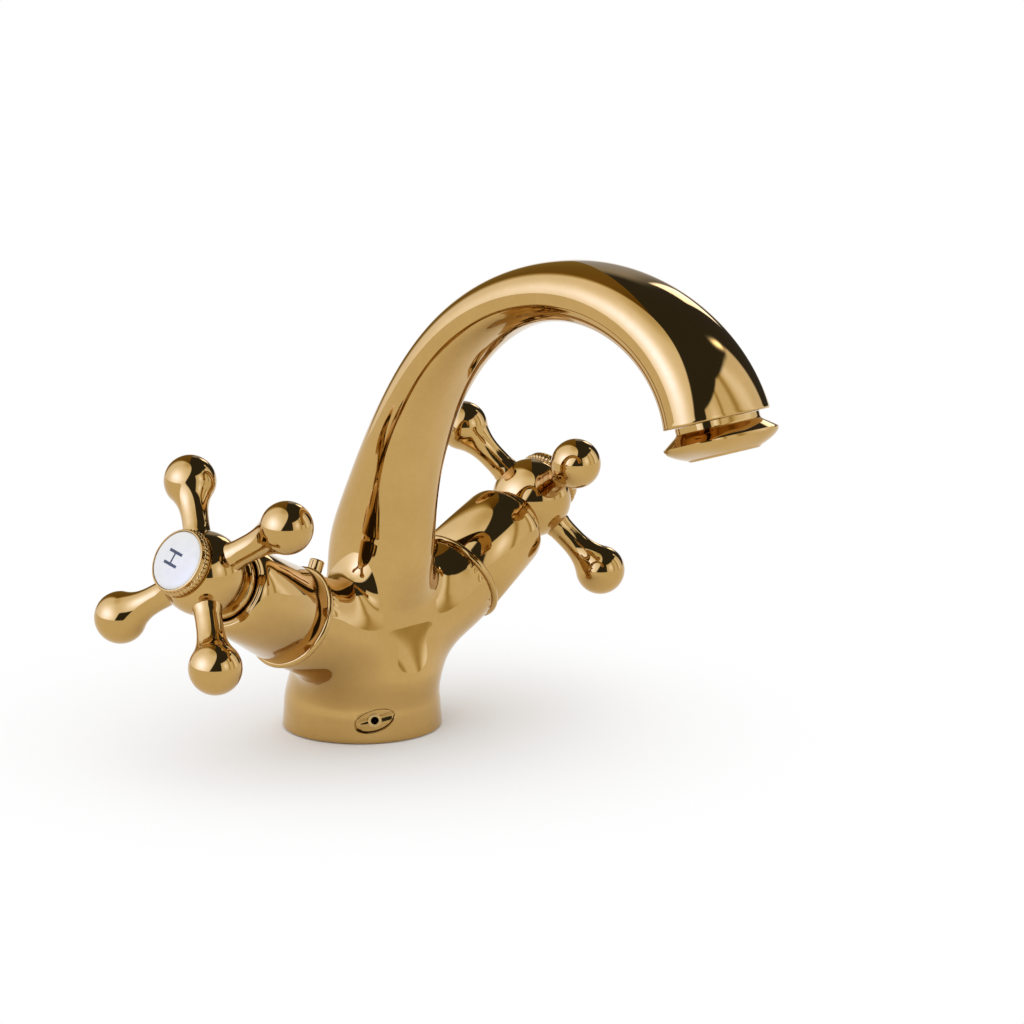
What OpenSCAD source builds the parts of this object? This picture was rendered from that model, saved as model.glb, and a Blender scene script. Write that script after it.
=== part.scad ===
// Deck-mounted two-handle basin faucet with an arched cast spout and ball-ended cross handles.
// Millimetres, +Z up, origin at the centre of the foot's underside, spout towards -Y.
// The hot valve is on -X and the cold valve, its mirror image, on +X.

/* [Foot] */
// Radius of the foot where it stands on the basin
foot_r = 24; // [22:0.5:26]
// Radius of the waist above the foot
waist_r = 23.2; // [22.6:0.1:23.6]
// Height of the waist
waist_h = 16; // [14:1:18]
// Height at which the foot column starts to close over
column_h = 7; // [6:0.5:9]
// Rounding of the foot's lower edge
foot_edge = 0.6; // [0.3:0.1:1]

/* [Spout] */
// Height at which the neck's axis leaves the foot's axis
neck_root_h = 21.9; // [20.5:0.1:23.5]
// Length of the straight lower neck
neck_straight = 41.9; // [40:0.1:44]
// Forward lean of the lower neck, degrees
neck_lean = 14.2; // [12:0.2:17]
// Length of the bent path from the neck to the outlet
spout_path = 177.7; // [168:0.1:186]
// Direction of the outlet, degrees from straight up
outlet_turn = 162.3; // [156:0.1:166]
// Half width of the neck, across the faucet
neck_half_w = 13.2; // [12.7:0.1:14]
// Half depth of the neck where the bend starts
neck_half_d = 15.2; // [14.5:0.1:16.2]
// Half depth of the spout at its thinnest
throat_half_d = 8.2; // [7.5:0.1:9]
// Half width of the spout at the outlet
mouth_half_w = 17.9; // [17.2:0.1:18.4]
// Half depth of the spout at the outlet
mouth_half_d = 10.8; // [10.4:0.1:11.6]
// Radius of the waterway in the spout
waterway_r = 4.5; // [3.5:0.1:5]

/* [Valve arms] */
// Rise of the valve arms, degrees
arm_tilt = 28.8; // [26:0.2:31]
// Height at which the valve axes cross the middle plane
valve_z = 20.6; // [19:0.2:22]
// Set-back of the valve axes towards the front
valve_forward = 5.8; // [5:0.1:7]
// Radius of the casting's arm where it blends into the body
arm_r = 13.8; // [13.4:0.1:14.2]
// Radius of the arm's end face
arm_end_r = 14.5; // [14.3:0.1:15]
// Distance along the valve axis to the arm's end face
arm_end = 39; // [37:0.5:40]
// Radius of the spigot that carries the ring and the bonnet
spigot_r = 12.1; // [11.9:0.05:12.2]
// Length of the spigot
spigot_l = 7.5; // [6:0.5:9]

/* [Ring and bonnet] */
// Radius of the collar ring
ring_r = 15.5; // [15.2:0.1:16.5]
// Thickness of the collar ring
ring_t = 2.2; // [1.8:0.1:2.8]
// Radius of the bonnet where its shoulder starts
bonnet_r = 13.5; // [13.3:0.1:13.9]
// Radius of the bonnet at the collar ring
bonnet_base_r = 14.6; // [14:0.1:15]
// Length of the bonnet
bonnet_l = 26.8; // [25.5:0.1:28]
// Length of the bonnet's rounded shoulder
bonnet_shoulder_l = 6; // [4:0.5:7]
// Radius of the bonnet at its mouth
bonnet_mouth_r = 11.7; // [11.5:0.1:12.2]

/* [Cartridge] */
// Radius of the cartridge's thread, in its bore
cartridge_r = 9.5; // [9.2:0.05:9.7]
// Distance along the valve axis to the seat
seat_at = 24; // [23:0.2:25]
// Thickness of the rubber seat seal
seal_t = 3.5; // [3:0.1:4]
// Radius of the ceramic discs
disc_r = 7.8; // [7.4:0.1:8]
// Thickness of each ceramic disc
disc_t = 3.4; // [3:0.1:3.8]
// Width of the cartridge's hexagon across its flats
hex_af = 20.4; // [19:0.1:20.8]
// Height of the hexagon
hex_h = 4; // [3:0.1:5]
// Radius of the cartridge's upper neck
cartridge_neck_r = 7.2; // [6.5:0.1:7.6]
// Length of the cartridge's upper neck
cartridge_neck_l = 10; // [9:0.2:11]
// Radius of the spindle
spindle_r = 4; // [3.6:0.1:4.2]
// Length of the spindle's splined end
spline_l = 12; // [11:0.5:13]
// Number of splines
spline_count = 20; // [16:2:24]

/* [Handle] */
// Distance along the valve axis to the middle of the handle
hub_at = 79.5; // [78.5:0.1:80.5]
// Radius of the round hub
hub_r = 12.2; // [12:0.1:12.6]
// Radius of the skirt behind the hub
skirt_r = 10.2; // [9.9:0.1:10.3]
// Distance from the valve axis to the middle of each ball
ball_reach = 30.85; // [29:0.1:33]
// Radius of each ball
ball_r = 7.6; // [7:0.1:8.2]
// Radius of each arm at its thinnest
arm_neck_r = 3.9; // [3.5:0.1:4.2]
// Radius of the collar where each arm meets the hub
arm_collar_r = 4.7; // [4.4:0.1:5]
// Turn of the closed cross handle about its axis, degrees
closed_turn = 34.7; // [0:0.1:90]
// Radius of the handle screw's thread
handle_screw_r = 1.95; // [1.8:0.05:2.1]

/* [Index button] */
// Radius of the beaded rim
rim_r = 9.9; // [9.6:0.1:10.2]
// Thickness of the beaded rim
rim_t = 3.8; // [3.2:0.1:4.4]
// Number of beads around the rim
bead_count = 44; // [36:2:52]
// Radius of the porcelain disc
index_r = 8.6; // [8.2:0.1:8.7]
// Height of the porcelain disc's dome
index_dome = 1.3; // [0.8:0.1:1.8]

/* [Outlet] */
// Half width of the flared shroud
shroud_half_w = 17.9; // [17.4:0.1:18.8]
// Half depth of the flared shroud
shroud_half_d = 11; // [10.6:0.1:11.6]
// Height of the shroud's recessed neck
shroud_neck_h = 1.7; // [1.5:0.1:2.5]
// Height of the shroud's flare
shroud_flare_h = 3.4; // [3:0.1:4.4]
// Height of the shroud's rounded underside
shroud_bowl_h = 4.6; // [4:0.1:5.2]
// Radius of the aerator's thread
aerator_r = 6; // [5.6:0.1:6.3]
// Length of the aerator's thread
aerator_thread_l = 7; // [6:0.5:8]

/* [Underside] */
// Radius of the wall of each M10 inlet thread
inlet_r = 4.5; // [4.4:0.05:4.6]
// Depth of each inlet thread
inlet_l = 12; // [10:0.5:13]
// Distance of each inlet from the middle plane
inlet_x = 9; // [8:0.2:10]
// Distance of the inlets in front of the foot's axis
inlet_forward = 4; // [3:0.2:5]
// Radius of the wall of the M8 stud thread
stud_r = 3.4; // [3.3:0.05:3.5]
// Depth of the stud thread
stud_l = 14; // [12:0.5:15]
// Distance of the stud behind the foot's axis
stud_back = 11; // [10:0.2:12]
// Radius of the middle of the base gasket
gasket_mid_r = 20.5; // [20:0.1:21]
// Width of the base gasket
gasket_w = 2.4; // [2:0.1:2.8]
// Thickness of the base gasket
gasket_t = 1.6; // [1.2:0.1:2]

/* [Chain eyelet] */
// Half width of the oval pocket in the foot
pocket_half_w = 6.2; // [5.5:0.1:7]
// Half height of the oval pocket
pocket_half_h = 3.2; // [3:0.1:3.8]
// Height of the middle of the pocket
pocket_h = 6.8; // [6.2:0.1:7.4]
// Direction of the pocket from the front towards the hot side, degrees
pocket_turn = 36.5; // [20:0.5:50]
// Tilt of the pocket, up on the side away from the hot valve, degrees
pocket_tilt = 15; // [0:1:20]
// Radius of the eyelet pressed into the pocket
eyelet_r = 2; // [1.8:0.1:2.3]

/* [Hidden] */
$fn = 64;

// Which of the two mirrored valves a piece belongs to
hot = 0;
cold = 1;

// Finishes
gold = [0.80, 0.62, 0.36];
brass = [0.72, 0.58, 0.34];
rubber = [0.10, 0.10, 0.10];
ceramic = [0.90, 0.88, 0.84];
porcelain = [0.96, 0.96, 0.97];
steel = [0.70, 0.70, 0.70];
polymer = [0.86, 0.84, 0.78];

// Clearances
overrun = 1;
film_gap = 0.05;
running_gap = 0.05;
thread_gap = 0.1;
seat_gap = 0.1;
swing_gap = 0.4;

// Shape of the spout's sections and of its bend
section_power = 2.3;
bend_shares = [0.319, 0.571, 0.986, 1.031, 1.249, 2.007];
bend_steps = len(bend_shares) - 1;
throat_at_share = 0.398;
taper_power = 2.53;
mouth_power = 2.42;
widen_at_share = 0.62;
widen_power = 1.5;

// Smooth blends of the casting
arm_blend = 12;
foot_blend = 16;
neck_blend = 13.8;
neck_front_blend = 24;
front_reach = 14;
front_from_z = 18;
neck_swell_l = 15;
least_share = 0.0001;
blend_rise = 19;

// Middle of the casting, from which its skin is measured
core_y = -3;
core_z = 27;
core_reach = 90;

// Fineness of the casting's skin
skin_sides = 44;
core_rings = 30;
spout_rings = 36;
search_steps = 16;

// Where the casting's skin hands over to its turned ends
foot_turned_h = 4.4;
foot_edge_share = 0.3;
foot_inset = 0.12;
foot_inset_rise = 2;
arm_turned_l = 2.5;

// Collar ring, bonnet and lock screw
ring_at = arm_end;
bonnet_at = ring_at + ring_t;
bonnet_end = bonnet_at + bonnet_l;
bonnet_wall = 1.1;
bonnet_edge_shares = [0.5, 0.4];
shoulder_steps = 6;
mouth_r = skirt_r + swing_gap;
lock_screw_r = 1.4;
lock_screw_head_r = 2.2;
lock_screw_head_h = 4.2;
lock_screw_inset = 2.5;
lock_screw_at = arm_end - lock_screw_inset;
lock_screw_turn = 3;
lock_screw_slot_w = 0.7;
lock_screw_slot_d = 0.6;

// Cartridge, from the seat outwards
bore_r = cartridge_r + thread_gap;
disc_bore_r = disc_r + seat_gap;
seal_hole_r = 4.6;
fixed_disc_at = seat_at + seal_t;
moving_disc_at = fixed_disc_at + disc_t + film_gap;
spindle_at = moving_disc_at + disc_t + film_gap;
spindle_flange_r = disc_r - seat_gap;
spindle_flange_t = 3.4;
washer_at = spindle_at + spindle_flange_t + film_gap;
washer_t = 1;
housing_at = seat_at + seal_t - washer_t;
disc_bore_end = washer_at + washer_t;
hex_at = arm_end + spigot_l + seat_gap;
flange_seal_t = 1.2;
flange_seal_w = 0.9;
flange_seal_groove_r = cartridge_r - flange_seal_w;
housing_neck_at = hex_at + hex_h;
housing_end = housing_neck_at + cartridge_neck_l;
window_w = 8;
window_l = disc_t + spindle_flange_t;
port_in_r = 2;
port_margin = 1.6;
port_out_r = disc_r - port_margin;
port_turn = 84;
tongue_w = 3;
tongue_l = 10;
tongue_t = 1.5;
oring_r = 0.5;
oring_groove_r = spindle_r - 2 * oring_r;
oring_inset = 2;
oring_first = housing_neck_at + oring_inset;
oring_pitch = 3;
circlip_t = 0.7;
circlip_w = 1.6;
circlip_r = spindle_r + circlip_w;
circlip_groove_depth = 0.6;
circlip_groove_r = spindle_r - circlip_groove_depth;
circlip_at = housing_end + swing_gap;

// Handle, from the spindle outwards
spindle_setback = 1.5;
spline_at = hub_at - spline_l - spindle_setback;
spindle_end = spline_at + spline_l;
spline_tip_r = spindle_r - film_gap;
spline_depth = 0.5;
spline_root_r = spline_tip_r - spline_depth;
spindle_tap_l = 9;
skirt_cover = 3;
skirt_at = bonnet_end - skirt_cover;
hub_back_l = 8.6;
hub_back = hub_at - hub_back_l;
hub_step_l = 1.4;
hub_face_r = rim_r - seat_gap;
hub_front = hub_at + sqrt(hub_r * hub_r - hub_face_r * hub_face_r);
skirt_play = 1.4;
skirt_bore_r = cartridge_neck_r + skirt_play;
skirt_floor_l = 2;
skirt_bore_end = hub_back - skirt_floor_l;
screw_web_t = 1.8;
screw_seat = spindle_end + screw_web_t;
screw_head_r = 3.6;
screw_head_h = 2.2;
screw_l = 8;
screw_socket_r = 1.6;
screw_socket_d = 1.3;
sleeve_r = 6.8;
sleeve_wall = 1;
sleeve_l = 2.6;
sleeve_bore_r = sleeve_r + seat_gap;
head_bore_r = screw_head_r + swing_gap;
stub_r = 2.5;
stub_l = 3.6;
arm_sunk = 1.1;
arm_foot = hub_r - arm_sunk;
arm_collar_rise = 0.16;
arm_waist_l = 3.6;
arm_waist = arm_foot + arm_waist_l;
flare_end_share = 0.5;
flare_end = ball_reach - flare_end_share * ball_r;
flare_power = 2.1;
flare_steps = 10;
ball_steps = 14;

// Index button
rim_at = hub_front + seat_gap;
rim_floor_t = 1;
bead_depth = 0.45;
bead_points = 4;
index_seat_r = index_r + seat_gap;
index_at = rim_at + rim_floor_t + seat_gap;
dome_steps = 8;
dome_drop_share = 0.25;

// Outlet stack, measured from the end of the casting along the outlet's axis
shroud_at = seat_gap;
shroud_neck_share = 0.735;
shroud_face_share = 0.68;
shroud_bowl_power = 2;
shroud_face_draw = 4.2;
shroud_bowl_steps = 8;
shroud_power = 3;
shroud_sides = 48;
shroud_rim_at = shroud_neck_h + shroud_flare_h;
shroud_h = shroud_rim_at + shroud_bowl_h;
shroud_end = shroud_at + shroud_h;
aerator_flange_t = 1.3;
aerator_flange_w = 0.8;
aerator_flange_r = aerator_r + aerator_flange_w;
aerator_bore_r = aerator_r + thread_gap;
aerator_wall = 1.2;
aerator_inner_r = aerator_r - aerator_wall;
aerator_washer_t = 1.5;
aerator_washer_hole_r = 4.2;
aerator_deep = aerator_thread_l + seat_gap + aerator_washer_t;
screen_t = 0.8;
screen_at = -aerator_thread_l;
screen_ledge = 0.7;
screen_hole_r = 0.45;
insert_t = 3;
insert_inset = 0.3;
insert_end = shroud_end - insert_inset;
insert_hole_r = 0.55;
hole_pitch = 1.6;
hole_field = 2;

// Waterways in the casting
feed_r = 3.4;
mix_r = 3.4;
mix_at = seat_at + seal_t + disc_t;
chamber_y = -4;
chamber_z = 46;
waterway_sides = 14;
waterway_start_share = 0.06;
waterway_first = ceil(waterway_start_share * spout_rings);

// Chain eyelet
pocket_depth = 1.6;
eyelet_hole_r = 1.2;
eyelet_l = 4;
eyelet_top_share = 0.33;
pocket_points = 32;

// Direction of the lower neck and of the valve arms
lean_dir = [0, -sin(neck_lean), cos(neck_lean)];
lean_normal = [0, cos(neck_lean), sin(neck_lean)];
valve_origin = [0, -valve_forward, valve_z];
arm_dirs = [[-cos(arm_tilt), 0, sin(arm_tilt)], [cos(arm_tilt), 0, sin(arm_tilt)]];
neck_root = [0, 0, neck_root_h];
core = [0, core_y, core_z];

// Angle from upright of the spout at a share of its bent path, with the sharpness of the bend
// given at even steps along the path
function bend_sum(k) = k == 0 ? 0 : bend_sum(k - 1) + (bend_shares[k - 1] + bend_shares[k]) / 2;
function bend_angle(u) = let(
    q = u * bend_steps,
    k = min(floor(q), bend_steps - 1),
    t = q - k,
    from = bend_shares[k],
    to = bend_shares[k + 1]
) neck_lean + (outlet_turn - neck_lean)
    * (bend_sum(k) + from * t + (to - from) * t * t / 2) / bend_sum(bend_steps);

// Points of the spout's centre line, summed from the straight neck on
spout_step = spout_path / spout_rings;
bend_start = neck_root + lean_dir * neck_straight;
function spout_points(i = 0, p = bend_start) = i > spout_rings ? [] : let(
    a = bend_angle((i + 0.5) / spout_rings),
    next = p + [0, -sin(a), cos(a)] * spout_step
) concat([p], spout_points(i + 1, next));
spout_line = spout_points();
outlet_at = spout_line[spout_rings];

// Half depth and half width of the spout at a share of its bent path
function half_depth(u) = u < throat_at_share
    ? throat_half_d + (neck_half_d - throat_half_d) * pow(1 - u / throat_at_share, taper_power)
    : throat_half_d + (mouth_half_d - throat_half_d)
        * pow((u - throat_at_share) / (1 - throat_at_share), mouth_power);
function half_width(u) = u < widen_at_share ? neck_half_w
    : neck_half_w + (mouth_half_w - neck_half_w)
        * pow((u - widen_at_share) / (1 - widen_at_share), widen_power);

// Point on a rounded oval of half sizes w and d, by angle
function signed_power(v, p) = sign(v) * pow(abs(v), p);
function oval(a, w, d, p) = [w * signed_power(cos(a), 2 / p), d * signed_power(sin(a), 2 / p)];

// Smooth union of two distances, blended over a width k
function blend(a, b, k) = let(h = max(k - abs(a - b), 0) / k) min(a, b) - h * h * h * k / 6;

// Growth of the neck's half depth per length down the neck, at the root of the bend
root_slope = (neck_half_d - throat_half_d) * taper_power / (throat_at_share * spout_path);

// Radius of the foot column at a height
function column_r(z) = waist_r + (foot_r - waist_r) * pow(max(1 - z / waist_h, 0), 2);
function inset_at(z) = foot_inset
    * min(max((foot_turned_h + foot_inset_rise - z) / foot_inset_rise, 0), 1);
// How much of the blends applies at a height: none at the foot, all of it above the waist
function blend_share(z) = let(u = min(max(z / blend_rise, 0), 1))
    max(u * u * (3 - 2 * u), least_share);

// How much of the wider front blend applies at a point: all of it in front, above the waist
function eased(v) = let(u = min(max(v, 0), 1)) u * u * (3 - 2 * u);
function front_share(p) = eased(-p.y / front_reach) * eased((p.z - front_from_z) / front_reach);

// Distances to the foot column, to one valve arm and to the lower neck
function column_gap(p) = let(up = max(p.z - column_h, 0))
    norm([p.x, p.y, up]) - column_r(p.z) + inset_at(p.z);
function arm_gap(p, dir) = let(q = p - valve_origin, s = q * dir, off = q - dir * s)
    norm([norm(off), min(s, 0)]) - arm_r;
function neck_gap(p) = let(
    q = p - neck_root,
    s = q * lean_dir - neck_straight,
    v = q * lean_normal,
    d = s < 0 ? max(neck_half_d - root_slope * s * (1 + s / neck_swell_l), throat_half_d)
        : half_depth(s / spout_path),
    n = section_power,
    r = pow(pow(abs(p.x) / neck_half_w, n) + pow(abs(v) / d, n), 1 / n)
) (r - 1) * min(neck_half_w, d);
function skin_gap(p) = let(share = blend_share(p.z)) blend(
    blend(column_gap(p), blend(arm_gap(p, arm_dirs[0]), arm_gap(p, arm_dirs[1]), arm_blend),
        foot_blend * share),
    neck_gap(p), (neck_blend + (neck_front_blend - neck_blend) * front_share(p)) * share);

// Distance from the core to the skin along a direction, kept short of the arms' ends and the foot
function search(dir, low, high, n) = n == 0 ? (low + high) / 2
    : let(mid = (low + high) / 2) skin_gap(core + dir * mid) > 0
        ? search(dir, low, mid, n - 1) : search(dir, mid, high, n - 1);
function to_plane(dir, normal, reach) = let(c = dir * normal) c > 0 ? reach / c : core_reach;
function skin_limit(dir) = min(
    to_plane(dir, arm_dirs[0], arm_end - overrun - (core - valve_origin) * arm_dirs[0]),
    to_plane(dir, arm_dirs[1], arm_end - overrun - (core - valve_origin) * arm_dirs[1]),
    to_plane(dir, [0, 0, -1], core_z - overrun));
function skin_reach(dir) = search(dir, 0, min(core_reach, skin_limit(dir)), search_steps);

// Ring of the spout's section at station i
function spout_ring(i) = let(
    u = i / spout_rings,
    a = bend_angle(u),
    across = [1, 0, 0],
    back = [0, cos(a), sin(a)]
) [for (j = [0:skin_sides - 1])
    let(q = oval(360 * j / skin_sides, half_width(u), half_depth(u), section_power))
        spout_line[i] + across * q.x + back * q.y];

// Rings of the casting's core, swung from under the foot up to the first ring of the spout
function core_dir(j, share) = let(
    top = spout_ring(0)[j] - core,
    unit = top / norm(top),
    off_axis = unit - lean_dir * (unit * lean_dir),
    side = off_axis / norm(off_axis),
    tilt_top = acos(unit * lean_dir),
    tilt = 180 - (180 - tilt_top) * share
) lean_dir * cos(tilt) + side * sin(tilt);
function core_ring(i) = [for (j = [0:skin_sides - 1])
    let(dir = core_dir(j, (i + 1) / (core_rings + 1))) core + dir * skin_reach(dir)];

// Closed solid through a stack of rings, each of n points
module ringed_solid(rings, n) {
    count = len(rings);
    points = [for (ring = rings, p = ring) p];
    sides = [for (i = [0:count - 2], j = [0:n - 1], half = [0, 1])
        let(k = (j + 1) % n, a = i * n + j, b = i * n + k, c = a + n, d = b + n)
            half == 0 ? [a, c, b] : [b, c, d]];
    first = [[for (j = [0:n - 1]) j]];
    last = [[for (j = [0:n - 1]) count * n - 1 - j]];
    polyhedron(points, concat(sides, first, last), convexity = 6);
}

// Frames: the valve axis with its +Z outwards, and the outlet axis with its +Z outwards
module on_hot_valve() {
    translate(valve_origin) rotate([0, arm_tilt - 90, 0]) children();
}
module on_valve(side) {
    if (side == hot) {
        on_hot_valve() children();
    } else {
        mirror([1, 0, 0]) on_hot_valve() children();
    }
}
module on_outlet() {
    translate(outlet_at) rotate([outlet_turn, 0, 0]) children();
}

// A turned rod between two distances along the axis, and a tube
module rod(r, from, to) {
    translate([0, 0, from]) cylinder(r = r, h = to - from);
}
module tube(r, hole_r, from, to) {
    difference() {
        rod(r, from, to);
        rod(hole_r, from - overrun, to + overrun);
    }
}
// A straight drilled hole from one point to another
module drilling(a, b, r) {
    d = b - a;
    translate(a) rotate([0, acos(d.z / norm(d)), atan2(d.y, d.x)]) cylinder(r = r, h = norm(d));
}
// Star outline of the spline
module spline_outline(gap) {
    polygon([for (i = [0:4 * spline_count - 1])
        let(a = 90 * i / spline_count, r = (i % 4 < 2 ? spline_tip_r : spline_root_r) + gap)
            r * [cos(a), sin(a)]]);
}
// Round holes in a hexagonal pattern
module hole_pattern(r, from, to) {
    for (i = [-hole_field:hole_field], j = [-hole_field:hole_field]) {
        if (abs(i + j) <= hole_field) {
            translate([hole_pitch * (i + j / 2), hole_pitch * j * sin(60), 0]) rod(r, from, to);
        }
    }
}

// Casting: foot, valve arms, neck and spout in one piece, with its waterways
module casting_skin() {
    rings = concat([for (i = [0:core_rings - 1]) core_ring(i)],
        [for (i = [0:spout_rings]) spout_ring(i)]);
    ringed_solid(rings, skin_sides);
}
module casting_foot() {
    foot_steps = 6;
    rotate_extrude(convexity = 4) polygon(concat(
        [[0, 0], [foot_r - foot_edge, 0],
            [foot_r - foot_edge_share * foot_edge, foot_edge_share * foot_edge]],
        [for (i = [0:foot_steps])
            let(z = foot_edge + (foot_turned_h - foot_edge) * i / foot_steps) [column_r(z), z]],
        [[0, foot_turned_h]]));
}
module casting_arm() {
    rod(arm_end_r, arm_end - arm_turned_l, arm_end);
    rod(spigot_r, arm_end - overrun, arm_end + spigot_l);
}
module casting_arm_cuts() {
    rod(bore_r, seat_at, arm_end + spigot_l + overrun);
    rotate([0, 90, lock_screw_turn]) translate([-lock_screw_at, 0, cartridge_r])
        cylinder(r = lock_screw_r + thread_gap, h = arm_end_r);
}
module waterway() {
    rings = [for (i = [0:spout_rings - waterway_first])
        let(k = i + waterway_first, a = bend_angle(k / spout_rings))
            [for (j = [0:waterway_sides - 1]) let(t = 360 * j / waterway_sides)
                spout_line[k] + waterway_r * ([1, 0, 0] * cos(t) + [0, cos(a), sin(a)] * sin(t))]];
    ringed_solid(rings, waterway_sides);
}
module casting() {
    color(gold) difference() {
        union() {
            casting_skin();
            casting_foot();
            for (side = [hot, cold]) on_valve(side) casting_arm();
        }
        for (side = [hot, cold]) {
            on_valve(side) casting_arm_cuts();
            inlet = [(side == hot ? -1 : 1) * inlet_x, -inlet_forward, 0];
            seat = valve_origin + arm_dirs[side] * seat_at;
            translate([inlet.x, inlet.y, -overrun]) cylinder(r = inlet_r, h = inlet_l + overrun);
            drilling([inlet.x, inlet.y, inlet_l - overrun], seat + arm_dirs[side] * overrun, feed_r);
            drilling(valve_origin + arm_dirs[side] * mix_at, [0, chamber_y, chamber_z], mix_r);
        }
        drilling([0, chamber_y, chamber_z - mix_r],
            spout_line[waterway_first] + lean_dir * overrun, waterway_r);
        waterway();
        on_outlet() rod(aerator_bore_r, -aerator_deep, overrun);
        translate([0, stud_back, -overrun]) cylinder(r = stud_r, h = stud_l + overrun);
        translate([0, 0, -overrun]) difference() {
            cylinder(r = gasket_mid_r + gasket_w / 2 + seat_gap, h = gasket_t + overrun);
            cylinder(r = gasket_mid_r - gasket_w / 2 - seat_gap, h = gasket_t + overrun);
        }
        on_pocket() {
            translate([0, 0, -pocket_depth]) linear_extrude(pocket_depth + overrun)
                polygon([for (i = [0:pocket_points - 1])
                    let(a = 360 * i / pocket_points) [pocket_half_w * cos(a), pocket_half_h * sin(a)]]);
            rod(eyelet_r + film_gap, -pocket_depth - eyelet_l, overrun);
        }
    }
}

// Frame of the oval pocket: +Z out of the foot, X along the pocket
module on_pocket() {
    translate([0, 0, pocket_h]) rotate([90, 0, -pocket_turn])
        translate([0, 0, column_r(pocket_h)]) rotate([0, 0, pocket_tilt]) children();
}
module base_gasket() {
    color(rubber) tube(gasket_mid_r + gasket_w / 2, gasket_mid_r - gasket_w / 2,
        0, gasket_t - seat_gap);
}
module chain_eyelet() {
    color(brass) on_pocket()
        tube(eyelet_r, eyelet_hole_r, -pocket_depth - eyelet_l + seat_gap,
            -pocket_depth * eyelet_top_share);
}

// Outlet pieces
module outlet_shroud() {
    stations = concat([[0, shroud_neck_share, 0], [shroud_neck_h, shroud_neck_share, 0]],
        [for (i = [0:shroud_bowl_steps]) let(t = i / shroud_bowl_steps)
            [shroud_rim_at + t * shroud_bowl_h,
                1 - (1 - shroud_face_share) * pow(t, shroud_bowl_power),
                shroud_face_draw * pow(t, shroud_bowl_power)]]);
    color(gold) on_outlet() difference() {
        translate([0, 0, shroud_at]) ringed_solid([for (s = stations)
            [for (j = [0:shroud_sides - 1])
                let(q = oval(-360 * j / shroud_sides, shroud_half_w * s[1] - s[2],
                    shroud_half_d * s[1], shroud_power)) [q.x, q.y, s[0]]]],
            shroud_sides);
        rod(aerator_bore_r, -overrun, shroud_end + overrun);
        rod(aerator_flange_r + seat_gap, shroud_end - aerator_flange_t - seat_gap, shroud_end + overrun);
    }
}
module aerator_washer() {
    color(rubber) on_outlet() tube(aerator_r, aerator_washer_hole_r, -aerator_deep + film_gap,
        -aerator_deep + film_gap + aerator_washer_t);
}
module aerator_housing() {
    color(brass) on_outlet() difference() {
        union() {
            rod(aerator_r, -aerator_thread_l, shroud_end - film_gap);
            rod(aerator_flange_r, shroud_end - aerator_flange_t, shroud_end - film_gap);
        }
        rod(aerator_inner_r, -aerator_thread_l + screen_t + screen_ledge, shroud_end + overrun);
        rod(aerator_inner_r - screen_ledge, -aerator_thread_l - overrun, 0);
        rod(aerator_inner_r, -aerator_thread_l - overrun, -aerator_thread_l + screen_t);
    }
}
module flow_screen() {
    color(steel) on_outlet() difference() {
        rod(aerator_inner_r - film_gap, screen_at, screen_at + screen_t - film_gap);
        hole_pattern(screen_hole_r, screen_at - overrun, screen_at + screen_t + overrun);
    }
}
module aerator_insert() {
    color(polymer) on_outlet() difference() {
        rod(aerator_inner_r - film_gap, insert_end - insert_t, insert_end);
        hole_pattern(insert_hole_r, insert_end - insert_t - overrun, insert_end + overrun);
    }
}

// Valve pieces that stay still
module collar_ring(side) {
    bead = ring_t / 2;
    color(gold) on_valve(side) difference() {
        union() {
            rod(ring_r - bead, ring_at, ring_at + ring_t);
            translate([0, 0, ring_at + bead]) rotate_extrude() translate([ring_r - bead, 0])
                circle(r = bead, $fn = 24);
        }
        rod(spigot_r + seat_gap, ring_at - overrun, ring_at + ring_t + overrun);
    }
}
module bonnet(side) {
    shoulder_at = bonnet_end - bonnet_shoulder_l;
    color(gold) on_valve(side) difference() {
        rotate_extrude(convexity = 4) polygon(concat(
            [[0, bonnet_at], [bonnet_base_r, bonnet_at]],
            [for (i = [0:shoulder_steps]) let(a = 90 * i / shoulder_steps)
                [bonnet_mouth_r + (bonnet_r - bonnet_mouth_r) * cos(a),
                    shoulder_at + (bonnet_shoulder_l - bonnet_edge_shares[0] * bonnet_wall) * sin(a)]],
            [[bonnet_mouth_r - bonnet_edge_shares[1] * bonnet_wall, bonnet_end], [0, bonnet_end]]));
        rod(bonnet_r - bonnet_wall, bonnet_at - overrun, shoulder_at);
        rod(mouth_r, shoulder_at - overrun, bonnet_end + overrun);
    }
}
module lock_screw(side) {
    head_at = arm_end_r + seat_gap;
    color(gold) on_valve(side) rotate([0, 90, lock_screw_turn]) translate([-lock_screw_at, 0, 0])
        difference() {
            union() {
                rod(lock_screw_r, cartridge_r + thread_gap, head_at + overrun);
                rod(lock_screw_head_r, head_at, head_at + lock_screw_head_h);
            }
            translate([-ring_r, -lock_screw_slot_w / 2, head_at + lock_screw_head_h - lock_screw_slot_d])
                cube([2 * ring_r, lock_screw_slot_w, lock_screw_slot_d + overrun]);
        }
}
module cartridge_housing(side) {
    color(brass) on_valve(side) difference() {
        union() {
            rod(cartridge_r, housing_at, hex_at);
            translate([0, 0, hex_at]) cylinder(r = hex_af / sqrt(3), h = hex_h, $fn = 6);
            rod(cartridge_neck_r, housing_neck_at - overrun, housing_end);
        }
        rod(disc_bore_r, housing_at - overrun, disc_bore_end);
        rod(spindle_r + running_gap, disc_bore_end - overrun, housing_end + overrun);
        translate([-cartridge_r - overrun, -window_w / 2, moving_disc_at - window_l / 2])
            cube([2 * (cartridge_r + overrun), window_w, window_l]);
        rod_groove(cartridge_r + overrun, flange_seal_groove_r, hex_at - flange_seal_t - seat_gap,
            hex_at);
    }
}
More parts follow.
